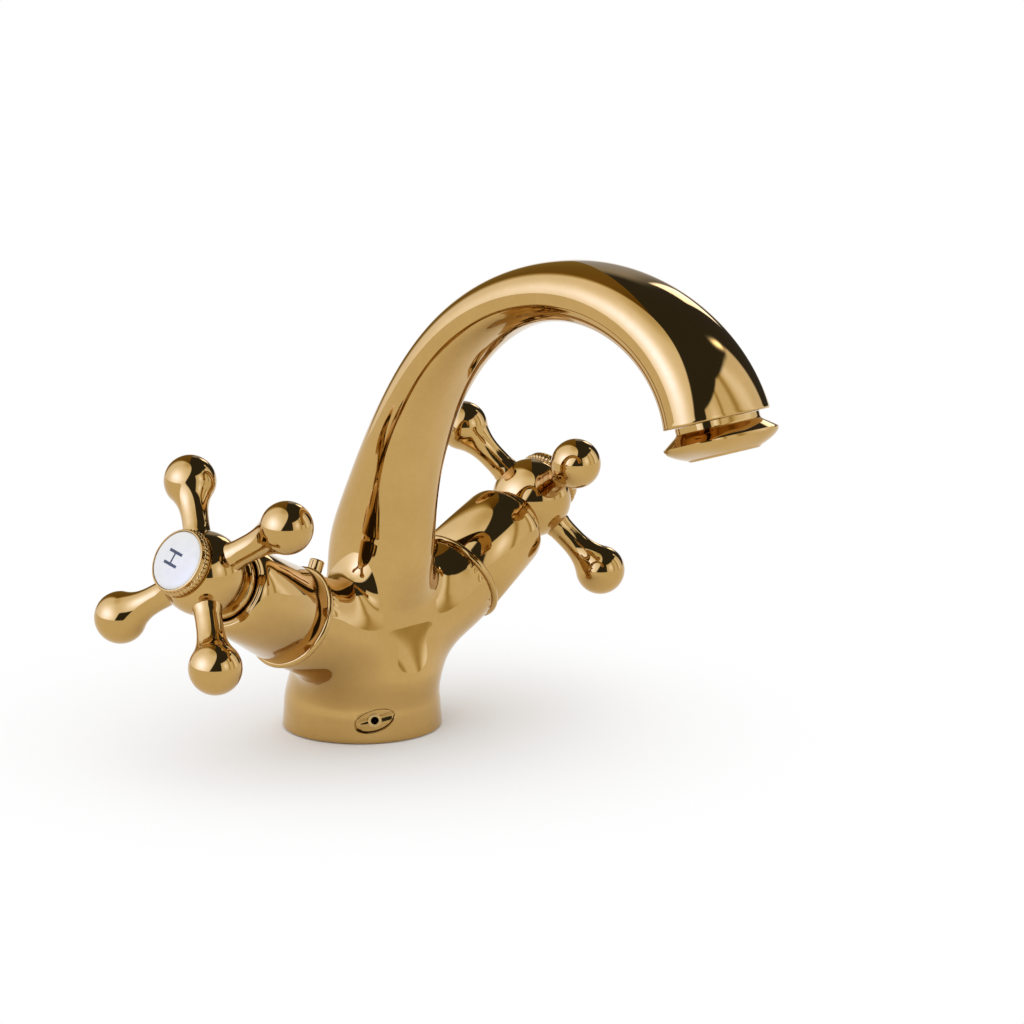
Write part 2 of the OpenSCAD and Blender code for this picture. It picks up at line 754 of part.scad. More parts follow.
// A ring-shaped cut between two radii
module rod_groove(r, root_r, from, to) {
    difference() {
        rod(r, from, to);
        rod(root_r, from - overrun, to + overrun);
    }
}
module seat_seal(side) {
    color(rubber) on_valve(side) tube(disc_r, seal_hole_r, seat_at + film_gap, fixed_disc_at - film_gap);
}
// Two kidney ports through a ceramic disc
module disc_ports(from, to) {
    for (half = [0, 1]) {
        rotate(180 * half - port_turn / 2) translate([0, 0, from]) rotate_extrude(angle = port_turn)
            translate([port_in_r, 0]) square([port_out_r - port_in_r, to - from]);
    }
}
module fixed_disc(side) {
    color(ceramic) on_valve(side) difference() {
        rod(disc_r, fixed_disc_at, fixed_disc_at + disc_t);
        disc_ports(fixed_disc_at - overrun, fixed_disc_at + disc_t + overrun);
    }
}
module thrust_washer(side) {
    color(polymer) on_valve(side) tube(disc_r, spindle_r + thread_gap, washer_at, disc_bore_end - film_gap);
}
module flange_seal(side) {
    color(rubber) on_valve(side)
        tube(cartridge_r, flange_seal_groove_r + film_gap, hex_at - flange_seal_t, hex_at - film_gap);
}

// Valve pieces that turn
module moving_disc(side) {
    top = moving_disc_at + disc_t;
    color(ceramic) on_valve(side) difference() {
        rod(disc_r, moving_disc_at, top);
        rotate(90) disc_ports(moving_disc_at - overrun, moving_disc_at + disc_t / 2);
        translate([-tongue_l / 2 - seat_gap, -tongue_w / 2 - seat_gap, top - tongue_t - seat_gap])
            cube([tongue_l + 2 * seat_gap, tongue_w + 2 * seat_gap, tongue_t + overrun]);
    }
}
// Outline of a groove in the spindle, from its near edge
function groove(from, w, r) = [[spindle_r, from], [r, from], [r, from + w], [spindle_r, from + w]];
module spindle(side) {
    color(brass) on_valve(side) difference() {
        union() {
            translate([-tongue_l / 2, -tongue_w / 2, spindle_at - tongue_t])
                cube([tongue_l, tongue_w, tongue_t + overrun]);
            rotate_extrude(convexity = 6) polygon(concat(
                [[0, spindle_at], [spindle_flange_r, spindle_at],
                    [spindle_flange_r, spindle_at + spindle_flange_t],
                    [spindle_r, spindle_at + spindle_flange_t]],
                groove(oring_first, 2 * oring_r + seat_gap, oring_groove_r),
                groove(oring_first + oring_pitch, 2 * oring_r + seat_gap, oring_groove_r),
                groove(circlip_at - film_gap, circlip_t + 2 * film_gap, circlip_groove_r),
                [[spindle_r, spline_at], [0, spline_at]]));
            translate([0, 0, spline_at - overrun]) linear_extrude(spline_l + overrun) spline_outline(0);
        }
        rod(handle_screw_r + film_gap, spindle_end - spindle_tap_l, spindle_end + overrun);
    }
}
module spindle_orings(side) {
    color(rubber) on_valve(side) for (i = [0, 1]) {
        translate([0, 0, oring_first + i * oring_pitch + oring_r + seat_gap / 2]) rotate_extrude()
            translate([spindle_r - oring_r, 0]) circle(r = oring_r - film_gap / 2, $fn = 16);
    }
}
module circlip(side) {
    color(steel) on_valve(side) difference() {
        tube(circlip_r, circlip_groove_r + film_gap, circlip_at, circlip_at + circlip_t);
        translate([0, -spindle_r / 2, circlip_at - overrun])
            cube([2 * circlip_r, spindle_r, circlip_t + 2 * overrun]);
    }
}
module handle_hub(side) {
    hub_steps = 12;
    low = asin((hub_back - hub_at) / hub_r);
    high = asin((hub_front - hub_at) / hub_r);
    color(gold) on_valve(side) difference() {
        rotate_extrude(convexity = 4) polygon(concat(
            [[0, skirt_at], [skirt_r, skirt_at], [skirt_r, hub_back - hub_step_l]],
            [for (i = [0:hub_steps]) let(a = low + (high - low) * i / hub_steps)
                [hub_r * cos(a), hub_at + hub_r * sin(a)]],
            [[0, hub_front]]));
        rod(skirt_bore_r, skirt_at - overrun, skirt_bore_end);
        translate([0, 0, skirt_bore_end - overrun])
            linear_extrude(spindle_end - skirt_bore_end + overrun + seat_gap)
                spline_outline(film_gap);
        rod(handle_screw_r + seat_gap, spindle_end - overrun, hub_front);
        rod(head_bore_r, screw_seat, hub_front + overrun);
        rod(sleeve_bore_r, hub_front - sleeve_l - seat_gap, hub_front + overrun);
        for (k = [0:3]) {
            on_handle_arm(k) {
                rod(stub_r + film_gap, arm_foot - stub_l - seat_gap, hub_r + overrun);
                rod(arm_collar_r + film_gap, arm_foot - film_gap, hub_r + overrun);
            }
        }
    }
}
// Frame of one handle arm: +Z outwards from the valve axis
module on_handle_arm(k) {
    translate([0, 0, hub_at]) rotate([0, 90, closed_turn + 90 * k]) children();
}
module handle_arms(side) {
    flare_r = sqrt(ball_r * ball_r - pow(flare_end - ball_reach, 2));
    start = asin((flare_end - ball_reach) / ball_r);
    outline = concat(
        [[0, arm_foot], [arm_collar_r, arm_foot], [arm_collar_r, hub_r + arm_collar_rise]],
        [for (i = [0:flare_steps - 1])
            let(u = i / flare_steps)
                [arm_neck_r + (flare_r - arm_neck_r) * pow(u, flare_power),
                    arm_waist + (flare_end - arm_waist) * u]],
        [for (i = [0:ball_steps]) let(a = start + (90 - start) * i / ball_steps)
            [ball_r * cos(a), ball_reach + ball_r * sin(a)]]);
    color(gold) on_valve(side) for (k = [0:3]) {
        on_handle_arm(k) {
            rotate_extrude(convexity = 4) polygon(outline);
            rod(stub_r, arm_foot - stub_l, arm_foot + overrun);
        }
    }
}
module handle_screw(side) {
    head_at = screw_seat + film_gap;
    color(steel) on_valve(side) difference() {
        union() {
            rod(handle_screw_r, head_at - screw_l, head_at + overrun);
            rod(screw_head_r, head_at, head_at + screw_head_h);
        }
        translate([0, 0, head_at + screw_head_h - screw_socket_d])
            cylinder(r = screw_socket_r, h = screw_socket_d + overrun, $fn = 6);
    }
}
module index_rim(side) {
    count = bead_count * bead_points;
    color(gold) on_valve(side) difference() {
        union() {
            translate([0, 0, rim_at]) linear_extrude(rim_t, convexity = 4) polygon([
                for (i = [0:count - 1]) let(a = 360 * i / count,
                    r = rim_r - bead_depth * (1 - cos(360 * i / bead_points)) / 2)
                    r * [cos(a), sin(a)]]);
            rod(sleeve_r, rim_at - sleeve_l, rim_at + rim_floor_t);
        }
        rod(index_seat_r, rim_at + rim_floor_t, rim_at + rim_t + overrun);
        rod(sleeve_r - sleeve_wall, rim_at - sleeve_l - overrun, rim_at + rim_t + overrun);
    }
}
module index_disc(side) {
    top = rim_at + rim_t;
    color(porcelain) on_valve(side) union() {
        rotate_extrude() polygon(concat(
            [[0, index_at], [index_r, index_at]],
            [for (i = [0:dome_steps]) let(a = 90 * i / dome_steps)
                [index_r * cos(a), top + index_dome * (sin(a) - dome_drop_share)]]));
    }
}

casting();
base_gasket();
chain_eyelet();
outlet_shroud();
aerator_washer();
flow_screen();
aerator_housing();
aerator_insert();
collar_ring(hot);  // hot_collar_ring
bonnet(hot);  // hot_bonnet
lock_screw(hot);  // hot_lock_screw
cartridge_housing(hot);  // hot_cartridge_housing
seat_seal(hot);  // hot_seat_seal
fixed_disc(hot);  // hot_fixed_disc
thrust_washer(hot);  // hot_thrust_washer
flange_seal(hot);  // hot_flange_seal
moving_disc(hot);  // hot_moving_disc
spindle(hot);  // hot_spindle
spindle_orings(hot);  // hot_spindle_orings
circlip(hot);  // hot_circlip
handle_hub(hot);  // hot_handle_hub
handle_arms(hot);  // hot_handle_arms
handle_screw(hot);  // hot_handle_screw
index_rim(hot);  // hot_index_rim
index_disc(hot);  // hot_index_disc
collar_ring(cold);  // cold_collar_ring
bonnet(cold);  // cold_bonnet
lock_screw(cold);  // cold_lock_screw
cartridge_housing(cold);  // cold_cartridge_housing
seat_seal(cold);  // cold_seat_seal
fixed_disc(cold);  // cold_fixed_disc
thrust_washer(cold);  // cold_thrust_washer
flange_seal(cold);  // cold_flange_seal
moving_disc(cold);  // cold_moving_disc
spindle(cold);  // cold_spindle
spindle_orings(cold);  // cold_spindle_orings
circlip(cold);  // cold_circlip
handle_hub(cold);  // cold_handle_hub
handle_arms(cold);  // cold_handle_arms
handle_screw(cold);  // cold_handle_screw
index_rim(cold);  // cold_index_rim
index_disc(cold);  // cold_index_disc
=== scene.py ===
"""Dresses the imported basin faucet: polished gold castings, porcelain index discs and a bright studio."""

from __future__ import annotations

import logging
import math
from dataclasses import dataclass, field
from enum import Enum
from typing import Callable, Sequence

import bmesh
import bpy
import numpy as np
from mathutils import Matrix, Vector
from mathutils.geometry import tessellate_polygon


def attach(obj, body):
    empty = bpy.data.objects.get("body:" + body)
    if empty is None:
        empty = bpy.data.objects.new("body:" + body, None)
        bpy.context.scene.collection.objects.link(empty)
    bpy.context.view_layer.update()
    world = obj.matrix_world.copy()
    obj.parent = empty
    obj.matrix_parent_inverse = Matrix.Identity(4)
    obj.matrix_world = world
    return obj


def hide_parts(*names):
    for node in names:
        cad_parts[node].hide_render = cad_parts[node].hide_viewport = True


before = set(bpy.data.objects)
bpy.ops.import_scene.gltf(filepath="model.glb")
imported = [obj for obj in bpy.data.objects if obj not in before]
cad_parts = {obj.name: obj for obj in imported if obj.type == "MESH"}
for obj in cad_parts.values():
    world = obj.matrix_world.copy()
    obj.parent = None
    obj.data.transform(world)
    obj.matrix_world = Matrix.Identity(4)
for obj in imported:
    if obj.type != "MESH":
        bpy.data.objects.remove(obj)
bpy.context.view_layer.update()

MM = 0.001
LOG = logging.getLogger("basin_faucet")

Outline = list[tuple[float, float]]
Colour = tuple[float, float, float]


class Side(Enum):
    """The two mirrored valves of the faucet."""

    HOT = "hot"
    COLD = "cold"

    @property
    def sign(self) -> int:
        """Side of the middle plane: hot stands on -X."""
        return -1 if self is Side.HOT else 1

    @property
    def handle_body(self) -> str:
        """Name of the body that turns on this side."""
        return f"{self.value}_handle"


class Slot(Enum):
    """Material slots of the record."""

    GOLD = "gold"
    PORCELAIN = "porcelain"


BODY = "faucet_body"


def _operator(operation: str, swapped: bool = False) -> Callable[[Wire, Wire | float], Wire]:
    """Makes an operator of Wire that adds one Math node.

    Args:
        operation: the node's operation.
        swapped: whether the wire stands to the right of the sign.

    Returns:
        The operator's method.
    """

    def method(self: Wire, other: Wire | float) -> Wire:
        """Joins this wire with another wire or a number."""
        first, second = (other, self) if swapped else (self, other)
        return self._math(operation, first, second)

    return method


class Wire:
    """A node's output socket, with the operators that shader maths needs."""

    __add__ = _operator("ADD")
    __radd__ = _operator("ADD", swapped=True)
    __sub__ = _operator("SUBTRACT")
    __rsub__ = _operator("SUBTRACT", swapped=True)
    __mul__ = _operator("MULTIPLY")
    __rmul__ = _operator("MULTIPLY", swapped=True)
    __truediv__ = _operator("DIVIDE")
    __rtruediv__ = _operator("DIVIDE", swapped=True)
    __pow__ = _operator("POWER")

    def __init__(self, shading: Shading, socket: bpy.types.NodeSocket | None) -> None:
        """Wraps a socket.

        Args:
            shading: the node tree that the socket belongs to.
            socket: the output socket; a closing node has none.
        """
        self.shading = shading
        self.socket = socket

    def _math(self, operation: str, *values: Wire | float) -> Wire:
        """Adds one Math node.

        Args:
            operation: the node's operation.
            values: its inputs, in order.

        Returns:
            The node's output.
        """
        return self.shading.node("ShaderNodeMath", {"operation": operation}, dict(enumerate(values)))

    def __neg__(self) -> Wire:
        """Opposite."""
        return self._math("MULTIPLY", self, -1.0)

    def __abs__(self) -> Wire:
        """Absolute value."""
        return self._math("ABSOLUTE", self)

    def most(self, other: Wire) -> Wire:
        """The larger of two values."""
        return self._math("MAXIMUM", self, other)

    def angle_from(self, other: Wire) -> Wire:
        """Angle of the point (other, self) from the first axis, in radians."""
        return self._math("ARCTAN2", self, other)

    def flipped(self) -> Wire:
        """What is missing to 1."""
        return 1 - self

    def step(self, low: float, high: float) -> Wire:
        """A soft step, from 0 at low to 1 at high."""
        settings = {"interpolation_type": "SMOOTHSTEP"}
        return self.shading.node("ShaderNodeMapRange", settings, {0: self, 1: low, 2: high, 3: 0.0, 4: 1.0})

    def bell(self, middle: float, width: float) -> Wire:
        """A soft hump of height 1 around the middle."""
        return self._math("EXPONENT", -(((self - middle) / width) ** 2))

    def band(self, low: float, high: float, soft: float) -> Wire:
        """1 between low and high and 0 outside, with edges as wide as soft."""
        rise = self.step(low - soft / 2, low + soft / 2)
        return rise * (1 - self.step(high - soft / 2, high + soft / 2))


class Shading:
    """A node tree under construction."""

    def __init__(self, tree: bpy.types.NodeTree) -> None:
        """Starts from an empty tree.

        Args:
            tree: the node tree, whose nodes are removed.
        """
        tree.nodes.clear()
        self.tree = tree

    def node(
        self,
        kind: str,
        settings: dict[str, object] | None = None,
        inputs: dict[int | str, object] | None = None,
        output: int | str = 0,
    ) -> Wire:
        """Adds a node.

        Args:
            kind: the node's type.
            settings: its own settings, set before its sockets.
            inputs: values or wires, by socket name or number.
            output: the output socket that is returned.

        Returns:
            The chosen output.
        """
        made = self.tree.nodes.new(kind)
        for name, value in (settings or {}).items():
            setattr(made, name, value)
        for name, value in (inputs or {}).items():
            socket = made.inputs[name]
            if isinstance(value, Wire):
                self.tree.links.new(value.socket, socket)
            elif isinstance(value, tuple) and len(value) == 3 and socket.type == "RGBA":
                socket.default_value = (*value, 1.0)
            else:
                socket.default_value = value
        return Wire(self, made.outputs[output] if made.outputs else None)

    def mix(self, share: Wire | float, first: object, second: object, how: str = "MIX") -> Wire:
        """Mixes two colours.

        Args:
            share: how much of the second applies.
            first: colour or wire.
            second: colour or wire.
            how: the blending.

        Returns:
            The mixed colour.
        """
        settings = {"data_type": "RGBA", "blend_type": how}
        return self.node("ShaderNodeMix", settings, {0: share, 6: first, 7: second}, output=2)

    def warmed(self, strength: Wire, green: float, blue: float) -> Wire:
        """Light that turns warmer as it fades and cooler as it grows.

        Args:
            strength: how bright it is; 1 is white.
            green: power of the green channel.
            blue: power of the blue channel.

        Returns:
            The light's colour.
        """
        channels = {"Red": strength, "Green": strength**green, "Blue": strength**blue}
        return self.node("ShaderNodeCombineColor", {"mode": "RGB"}, channels)

    def place(self) -> Wire:
        """Object coordinates, in metres."""
        return self.node("ShaderNodeTexCoord", output="Object")

    def stretched(self, scale: tuple[float, float, float], turn: tuple[float, float, float]) -> Wire:
        """Object coordinates, turned and stretched.

        Args:
            scale: factor along each axis.
            turn: angles about each axis, in radians.

        Returns:
            The new coordinates.
        """
        inputs = {"Vector": self.place(), "Rotation": turn, "Scale": scale}
        return self.node("ShaderNodeMapping", {"vector_type": "TEXTURE"}, inputs)

    def noise(
        self, scale: float, detail: float = 3.0, rough: float = 0.5, where: Wire | None = None
    ) -> Wire:
        """Noise of 0 to 1.

        Args:
            scale: cells per metre.
            detail: number of octaves.
            rough: weight of the finer octaves.
            where: coordinates, by default the object's.

        Returns:
            The noise.
        """
        inputs = {"Vector": where or self.place(), "Scale": scale, "Detail": detail, "Roughness": rough}
        return self.node("ShaderNodeTexNoise", {}, inputs, output="Fac")

    def specks(self, scale: float, size: float) -> Wire:
        """Small round specks, 1 in a speck and 0 elsewhere.

        Args:
            scale: cells per metre.
            size: speck radius as a share of a cell.

        Returns:
            The mask.
        """
        inputs = {"Vector": self.place(), "Scale": scale}
        cells = self.node("ShaderNodeTexVoronoi", {"feature": "F1"}, inputs, output="Distance")
        return 1 - cells.step(size * 0.6, size)

    def bump(self, height: Wire, depth: float, strength: float = 1.0, under: Wire | None = None) -> Wire:
        """Surface relief.

        Args:
            height: height of 0 to 1.
            depth: what a height of 1 stands for, in metres.
            strength: how much of it applies.
            under: an earlier relief that this one adds to.

        Returns:
            The bent normal.
        """
        inputs: dict[int | str, object] = {"Height": height, "Distance": depth, "Strength": strength}
        if under is not None:
            inputs["Normal"] = under
        return self.node("ShaderNodeBump", {}, inputs)

    def principled(self, colour: Wire, roughness: Wire, normal: Wire, metallic: float = 0.0) -> Wire:
        """Surface shader.

        Args:
            colour: the base colour.
            roughness: the roughness.
            normal: the relief.
            metallic: 1 for a bare metal.

        Returns:
            The shader's output.
        """
        inputs = {"Base Color": colour, "Metallic": metallic, "Roughness": roughness, "Normal": normal}
        return self.node("ShaderNodeBsdfPrincipled", {}, inputs)


@dataclass(frozen=True)
class Finish:
    """A procedural finish: subclasses write its shader."""

    name: str

    def material(self) -> bpy.types.Material:
        """The finish's material, made once.

        Returns:
            The material.
        """
        found = bpy.data.materials.get(self.name)
        if found is not None:
            return found
        made = bpy.data.materials.new(self.name)
        made.use_nodes = True
        shading = Shading(made.node_tree)
        surface = self.surface(shading)
        shading.node("ShaderNodeOutputMaterial", {}, {"Surface": surface})
        return made

    def surface(self, shading: Shading) -> Wire:
        """Writes the shader.

        Args:
            shading: the material's tree.

        Returns:
            The shader's output.
        """
        raise NotImplementedError


@dataclass(frozen=True)
class PolishedGold(Finish):
    """Gold-coloured plating on polished brass, with faint waves, hairlines and water specks."""

    deep: Colour = (0.490, 0.303, 0.099)
    pale: Colour = (0.550, 0.347, 0.122)
    rough: float = 0.035
    cloud_scale: float = 38.0
    wave_scale: float = 26.0
    wave_depth: float = 0.00012
    hairline_depth: float = 0.0000012
    hairline_turn: tuple[float, float, float] = (0.3, 0.5, 0.2)

    def surface(self, shading: Shading) -> Wire:
        """Writes the shader of the plating.

        Args:
            shading: the material's tree.

        Returns:
            The shader's output.
        """
        clouds = shading.noise(self.cloud_scale, 4.0, 0.55)
        fine = shading.noise(self.cloud_scale * 14, 3.0, 0.6)
        specks = shading.specks(420.0, 0.11) * shading.noise(90.0, 2.0).step(0.5, 0.62)
        tone = (clouds * 0.75 + fine * 0.25).step(0.3, 0.72)
        colour = shading.mix(tone, self.deep, self.pale)
        colour = shading.mix(specks * 0.35, colour, self.pale)
        lines_at = shading.stretched((0.02, 0.0006, 0.0006), self.hairline_turn)
        hairlines = shading.noise(1.0, 2.0, 0.5, lines_at)
        haze = clouds.step(0.55, 0.8)
        roughness = self.rough + 0.03 * haze + 0.05 * specks + 0.012 * hairlines.step(0.55, 0.7)
        waves = shading.bump(shading.noise(self.wave_scale, 1.0, 0.4), self.wave_depth)
        relief = shading.bump(hairlines, self.hairline_depth, 0.6, waves)
        return shading.principled(colour, roughness, relief, metallic=1.0)


@dataclass(frozen=True)
class TurnedBrass(Finish):
    """Bare machined brass with fine tool marks and a light tarnish."""

    clean: Colour = (0.66, 0.47, 0.20)
    tarnish: Colour = (0.43, 0.28, 0.11)
    rough: float = 0.22

    def surface(self, shading: Shading) -> Wire:
        """Writes the shader of the brass.

        Args:
            shading: the material's tree.

        Returns:
            The shader's output.
        """
        stains = shading.noise(160.0, 5.0, 0.65).step(0.42, 0.72)
        marks = shading.noise(1.0, 2.0, 0.6, shading.stretched((0.004, 0.004, 0.00025), (0.0, 0.0, 0.0)))
        colour = shading.mix(stains * 0.7, self.clean, self.tarnish)
        relief = shading.bump(marks, 0.00001, 0.5)
        roughness = self.rough + 0.16 * stains + 0.06 * marks
        return shading.principled(colour, roughness, relief, metallic=1.0)


@dataclass(frozen=True)
class Moulded(Finish):
    """A moulded or pressed non-metal with a fine grain and a mottled tone."""

    light: Colour
    dark: Colour
    rough: float
    grain_scale: float = 900.0
    grain_depth: float = 0.00003
    mottle_scale: float = 120.0

    def surface(self, shading: Shading) -> Wire:
        """Writes the shader of the moulded piece.

        Args:
            shading: the material's tree.

        Returns:
            The shader's output.
        """
        mottle = shading.noise(self.mottle_scale, 4.0, 0.6).step(0.35, 0.7)
        grain = shading.noise(self.grain_scale, 3.0, 0.7)
        colour = shading.mix(mottle, self.light, self.dark)
        roughness = self.rough + 0.12 * grain
        relief = shading.bump(grain, self.grain_depth, 0.5)
        return shading.principled(colour, roughness, relief)


@dataclass(frozen=True)
class GlazedPorcelain(Finish):
    """White glazed porcelain: faint mottle in the body, a smooth glaze with slight pooling."""

    body: Colour = (0.80, 0.79, 0.77)
    shade: Colour = (0.74, 0.735, 0.72)

    def surface(self, shading: Shading) -> Wire:
        """Writes the shader of the glaze.

        Args:
            shading: the material's tree.

        Returns:
            The shader's output.
        """
        mottle = shading.noise(260.0, 4.0, 0.6).step(0.35, 0.75)
        pinholes = shading.specks(700.0, 0.09) * shading.noise(150.0, 2.0).step(0.55, 0.65)
        colour = shading.mix(mottle, self.body, self.shade)
        colour = shading.mix(pinholes * 0.3, colour, (0.45, 0.42, 0.40))
        relief = shading.bump(shading.noise(120.0, 2.0, 0.4), 0.00006, 0.6)
        roughness = 0.16 + 0.08 * mottle
        return shading.principled(colour, roughness, relief)


@dataclass(frozen=True)
class StainlessSteel(Finish):
    """Drawn stainless steel with short brush marks."""

    tone: Colour = (0.58, 0.57, 0.55)
    dull: Colour = (0.44, 0.43, 0.41)

    def surface(self, shading: Shading) -> Wire:
        """Writes the shader of the steel.

        Args:
            shading: the material's tree.

        Returns:
            The shader's output.
        """
        brush = shading.noise(1.0, 3.0, 0.6, shading.stretched((0.003, 0.0002, 0.0002), (0.2, 0.0, 0.4)))
        cloud = shading.noise(200.0, 3.0).step(0.4, 0.7)
        colour = shading.mix(cloud, self.tone, self.dull)
        roughness = 0.24 + 0.1 * brush + 0.08 * cloud
        relief = shading.bump(brush, 0.000006, 0.5)
        return shading.principled(colour, roughness, relief, metallic=1.0)


@dataclass(frozen=True)
class StudioFloor(Finish):
    """A plain pale floor that runs out to white away from the faucet and keeps its shadow."""

    tone: Colour = (0.97, 0.97, 0.97)
    fleck: Colour = (0.955, 0.955, 0.955)
    near: float = 0.01
    far: float = 0.15

    def surface(self, shading: Shading) -> Wire:
        """Writes the shader of the floor.

        Args:
            shading: the material's tree.

        Returns:
            The shader's output.
        """
        weave = shading.noise(900.0, 3.0, 0.6)
        tone = shading.mix(weave.step(0.3, 0.7) * 0.5, self.tone, self.fleck)
        paper = shading.node("ShaderNodeBsdfDiffuse", {}, {"Color": tone})
        white = shading.node("ShaderNodeEmission", {}, {"Color": (1.0, 1.0, 1.0), "Strength": 1.0})
        reach = shading.node("ShaderNodeVectorMath", {"operation": "LENGTH"}, {0: shading.place()}, "Value")
        share = reach.step(self.near, self.far)
        seen = shading.node("ShaderNodeLightPath", output="Is Camera Ray")
        for ray in ("Is Glossy Ray", "Is Transmission Ray"):
            seen = seen.most(shading.node("ShaderNodeLightPath", output=ray))
        return shading.node("ShaderNodeMixShader", {}, {0: share * seen, 1: paper, 2: white})


GOLD = PolishedGold("gold_plating")
BRASS = TurnedBrass("machined_brass")
RUBBER = Moulded("black_rubber", (0.025, 0.025, 0.026), (0.014, 0.014, 0.015), 0.55)
CERAMIC = Moulded("fired_ceramic", (0.82, 0.80, 0.75), (0.74, 0.72, 0.67), 0.28, 1200.0, 0.00001)
POLYMER = Moulded("white_polymer", (0.72, 0.70, 0.62), (0.66, 0.64, 0.56), 0.4)
ENAMEL = Moulded("black_enamel", (0.018, 0.018, 0.022), (0.010, 0.010, 0.013), 0.22, 1500.0, 0.00001)
PORCELAIN = GlazedPorcelain("glazed_porcelain")
STEEL = StainlessSteel("stainless_steel")
FLOOR = StudioFloor("studio_floor")


@dataclass(frozen=True)
class Place:
    """A frame in the row's space: an origin and three axes, kept as the rows of an array."""

    origin: np.ndarray
    axes: np.ndarray

    def out(self, points: np.ndarray) -> np.ndarray:
        """Points of this frame, in the row's space."""
        return self.origin + np.asarray(points, float) @ self.axes

    @property
    def mirrored(self) -> bool:
        """Whether the frame is left-handed."""
        return float(np.linalg.det(self.axes)) < 0

    def turned(self, angle: float, lift: float = 0.0) -> Place:
        """This frame moved along its own Z by lift, with X swung to become the new Z.

        Args:
            angle: turn about the old Z, in radians.
            lift: distance along the old Z.

        Returns:
            A frame whose Z points away from the old axis.
        """
        x, y, z = self.axes
        out = math.cos(angle) * x + math.sin(angle) * y
        across = -math.sin(angle) * x + math.cos(angle) * y
        return Place(self.origin + z * lift, np.array([-z, across, out]))


UPRIGHT = Place(np.zeros(3), np.eye(3))


def unit(vector: Sequence[float]) -> np.ndarray:
    """The vector at length 1."""
    array = np.asarray(vector, float)
    return array / np.linalg.norm(array)


def circle(radius: np.ndarray | float, turn: np.ndarray) -> np.ndarray:
    """Flat points at a radius, by angle."""
    return np.column_stack([radius * np.cos(turn), radius * np.sin(turn)])


def quarter(steps: int) -> list[tuple[float, float]]:
    """Cosine and sine at even steps of a quarter turn."""
    angles = (math.radians(90 * i / steps) for i in range(steps + 1))
    return [(math.cos(a), math.sin(a)) for a in angles]


def lifted(flat: np.ndarray, height: np.ndarray | float) -> np.ndarray:
    """Flat points brought to a height."""
    return np.column_stack([flat, height + np.zeros(len(flat))])


def linked(name: str, data: bpy.types.ID) -> bpy.types.Object:
    """Puts a new object in the scene.

    Args:
        name: its name.
        data: its mesh or camera.

    Returns:
        The object.
    """
    made = bpy.data.objects.new(name, data)
    bpy.context.scene.collection.objects.link(made)
    return made


def bisected(low: np.ndarray, high: np.ndarray, past: Callable[[np.ndarray], np.ndarray]) -> np.ndarray:
    """Where a condition starts to hold between two bounds.

    Args:
        low: values at which it doesn't hold.
        high: values at which it holds.
        past: tells for an array of values where it holds.

    Returns:
        The values at which it starts.
    """
    for _ in range(50):
        middle = (low + high) / 2
        held = past(middle)
        high = np.where(held, middle, high)
        low = np.where(held, low, middle)
    return (low + high) / 2


def rounded(corners: Sequence[tuple[float, float, float]], steps: int = 5) -> Outline:
    """Rounds the corners of an outline.

    Args:
        corners: points as (radius, height, rounding).
        steps: points along each rounding.

    Returns:
        The outline with its roundings as short curves.
    """
    points: Outline = []
    count = len(corners)
    for k, (r, z, fillet) in enumerate(corners):
        here = np.array([r, z])
        if fillet <= 0 or k in (0, count - 1):
            points.append((r, z))
            continue
        before = np.array(corners[k - 1][:2]) - here
        after = np.array(corners[k + 1][:2]) - here
        reach = min(fillet, 0.48 * np.linalg.norm(before), 0.48 * np.linalg.norm(after))
        start = here + unit(before) * reach
        end = here + unit(after) * reach
        for i in range(steps + 1):
            t = i / steps
            p = start * (1 - t) ** 2 + here * 2 * t * (1 - t) + end * t * t
            points.append((float(p[0]), float(p[1])))
    return points


def arc(centre: tuple[float, float], radius: float, start: float, end: float, steps: int) -> Outline:
    """Points along an arc.

    Args:
        centre: middle as (radius, height).
        radius: the arc's radius.
        start: first angle in degrees.
        end: last angle in degrees.
        steps: number of intervals.

    Returns:
        The points.
    """
    angles = [math.radians(start + (end - start) * i / steps) for i in range(steps + 1)]
    return [(centre[0] + radius * math.cos(a), centre[1] + radius * math.sin(a)) for a in angles]


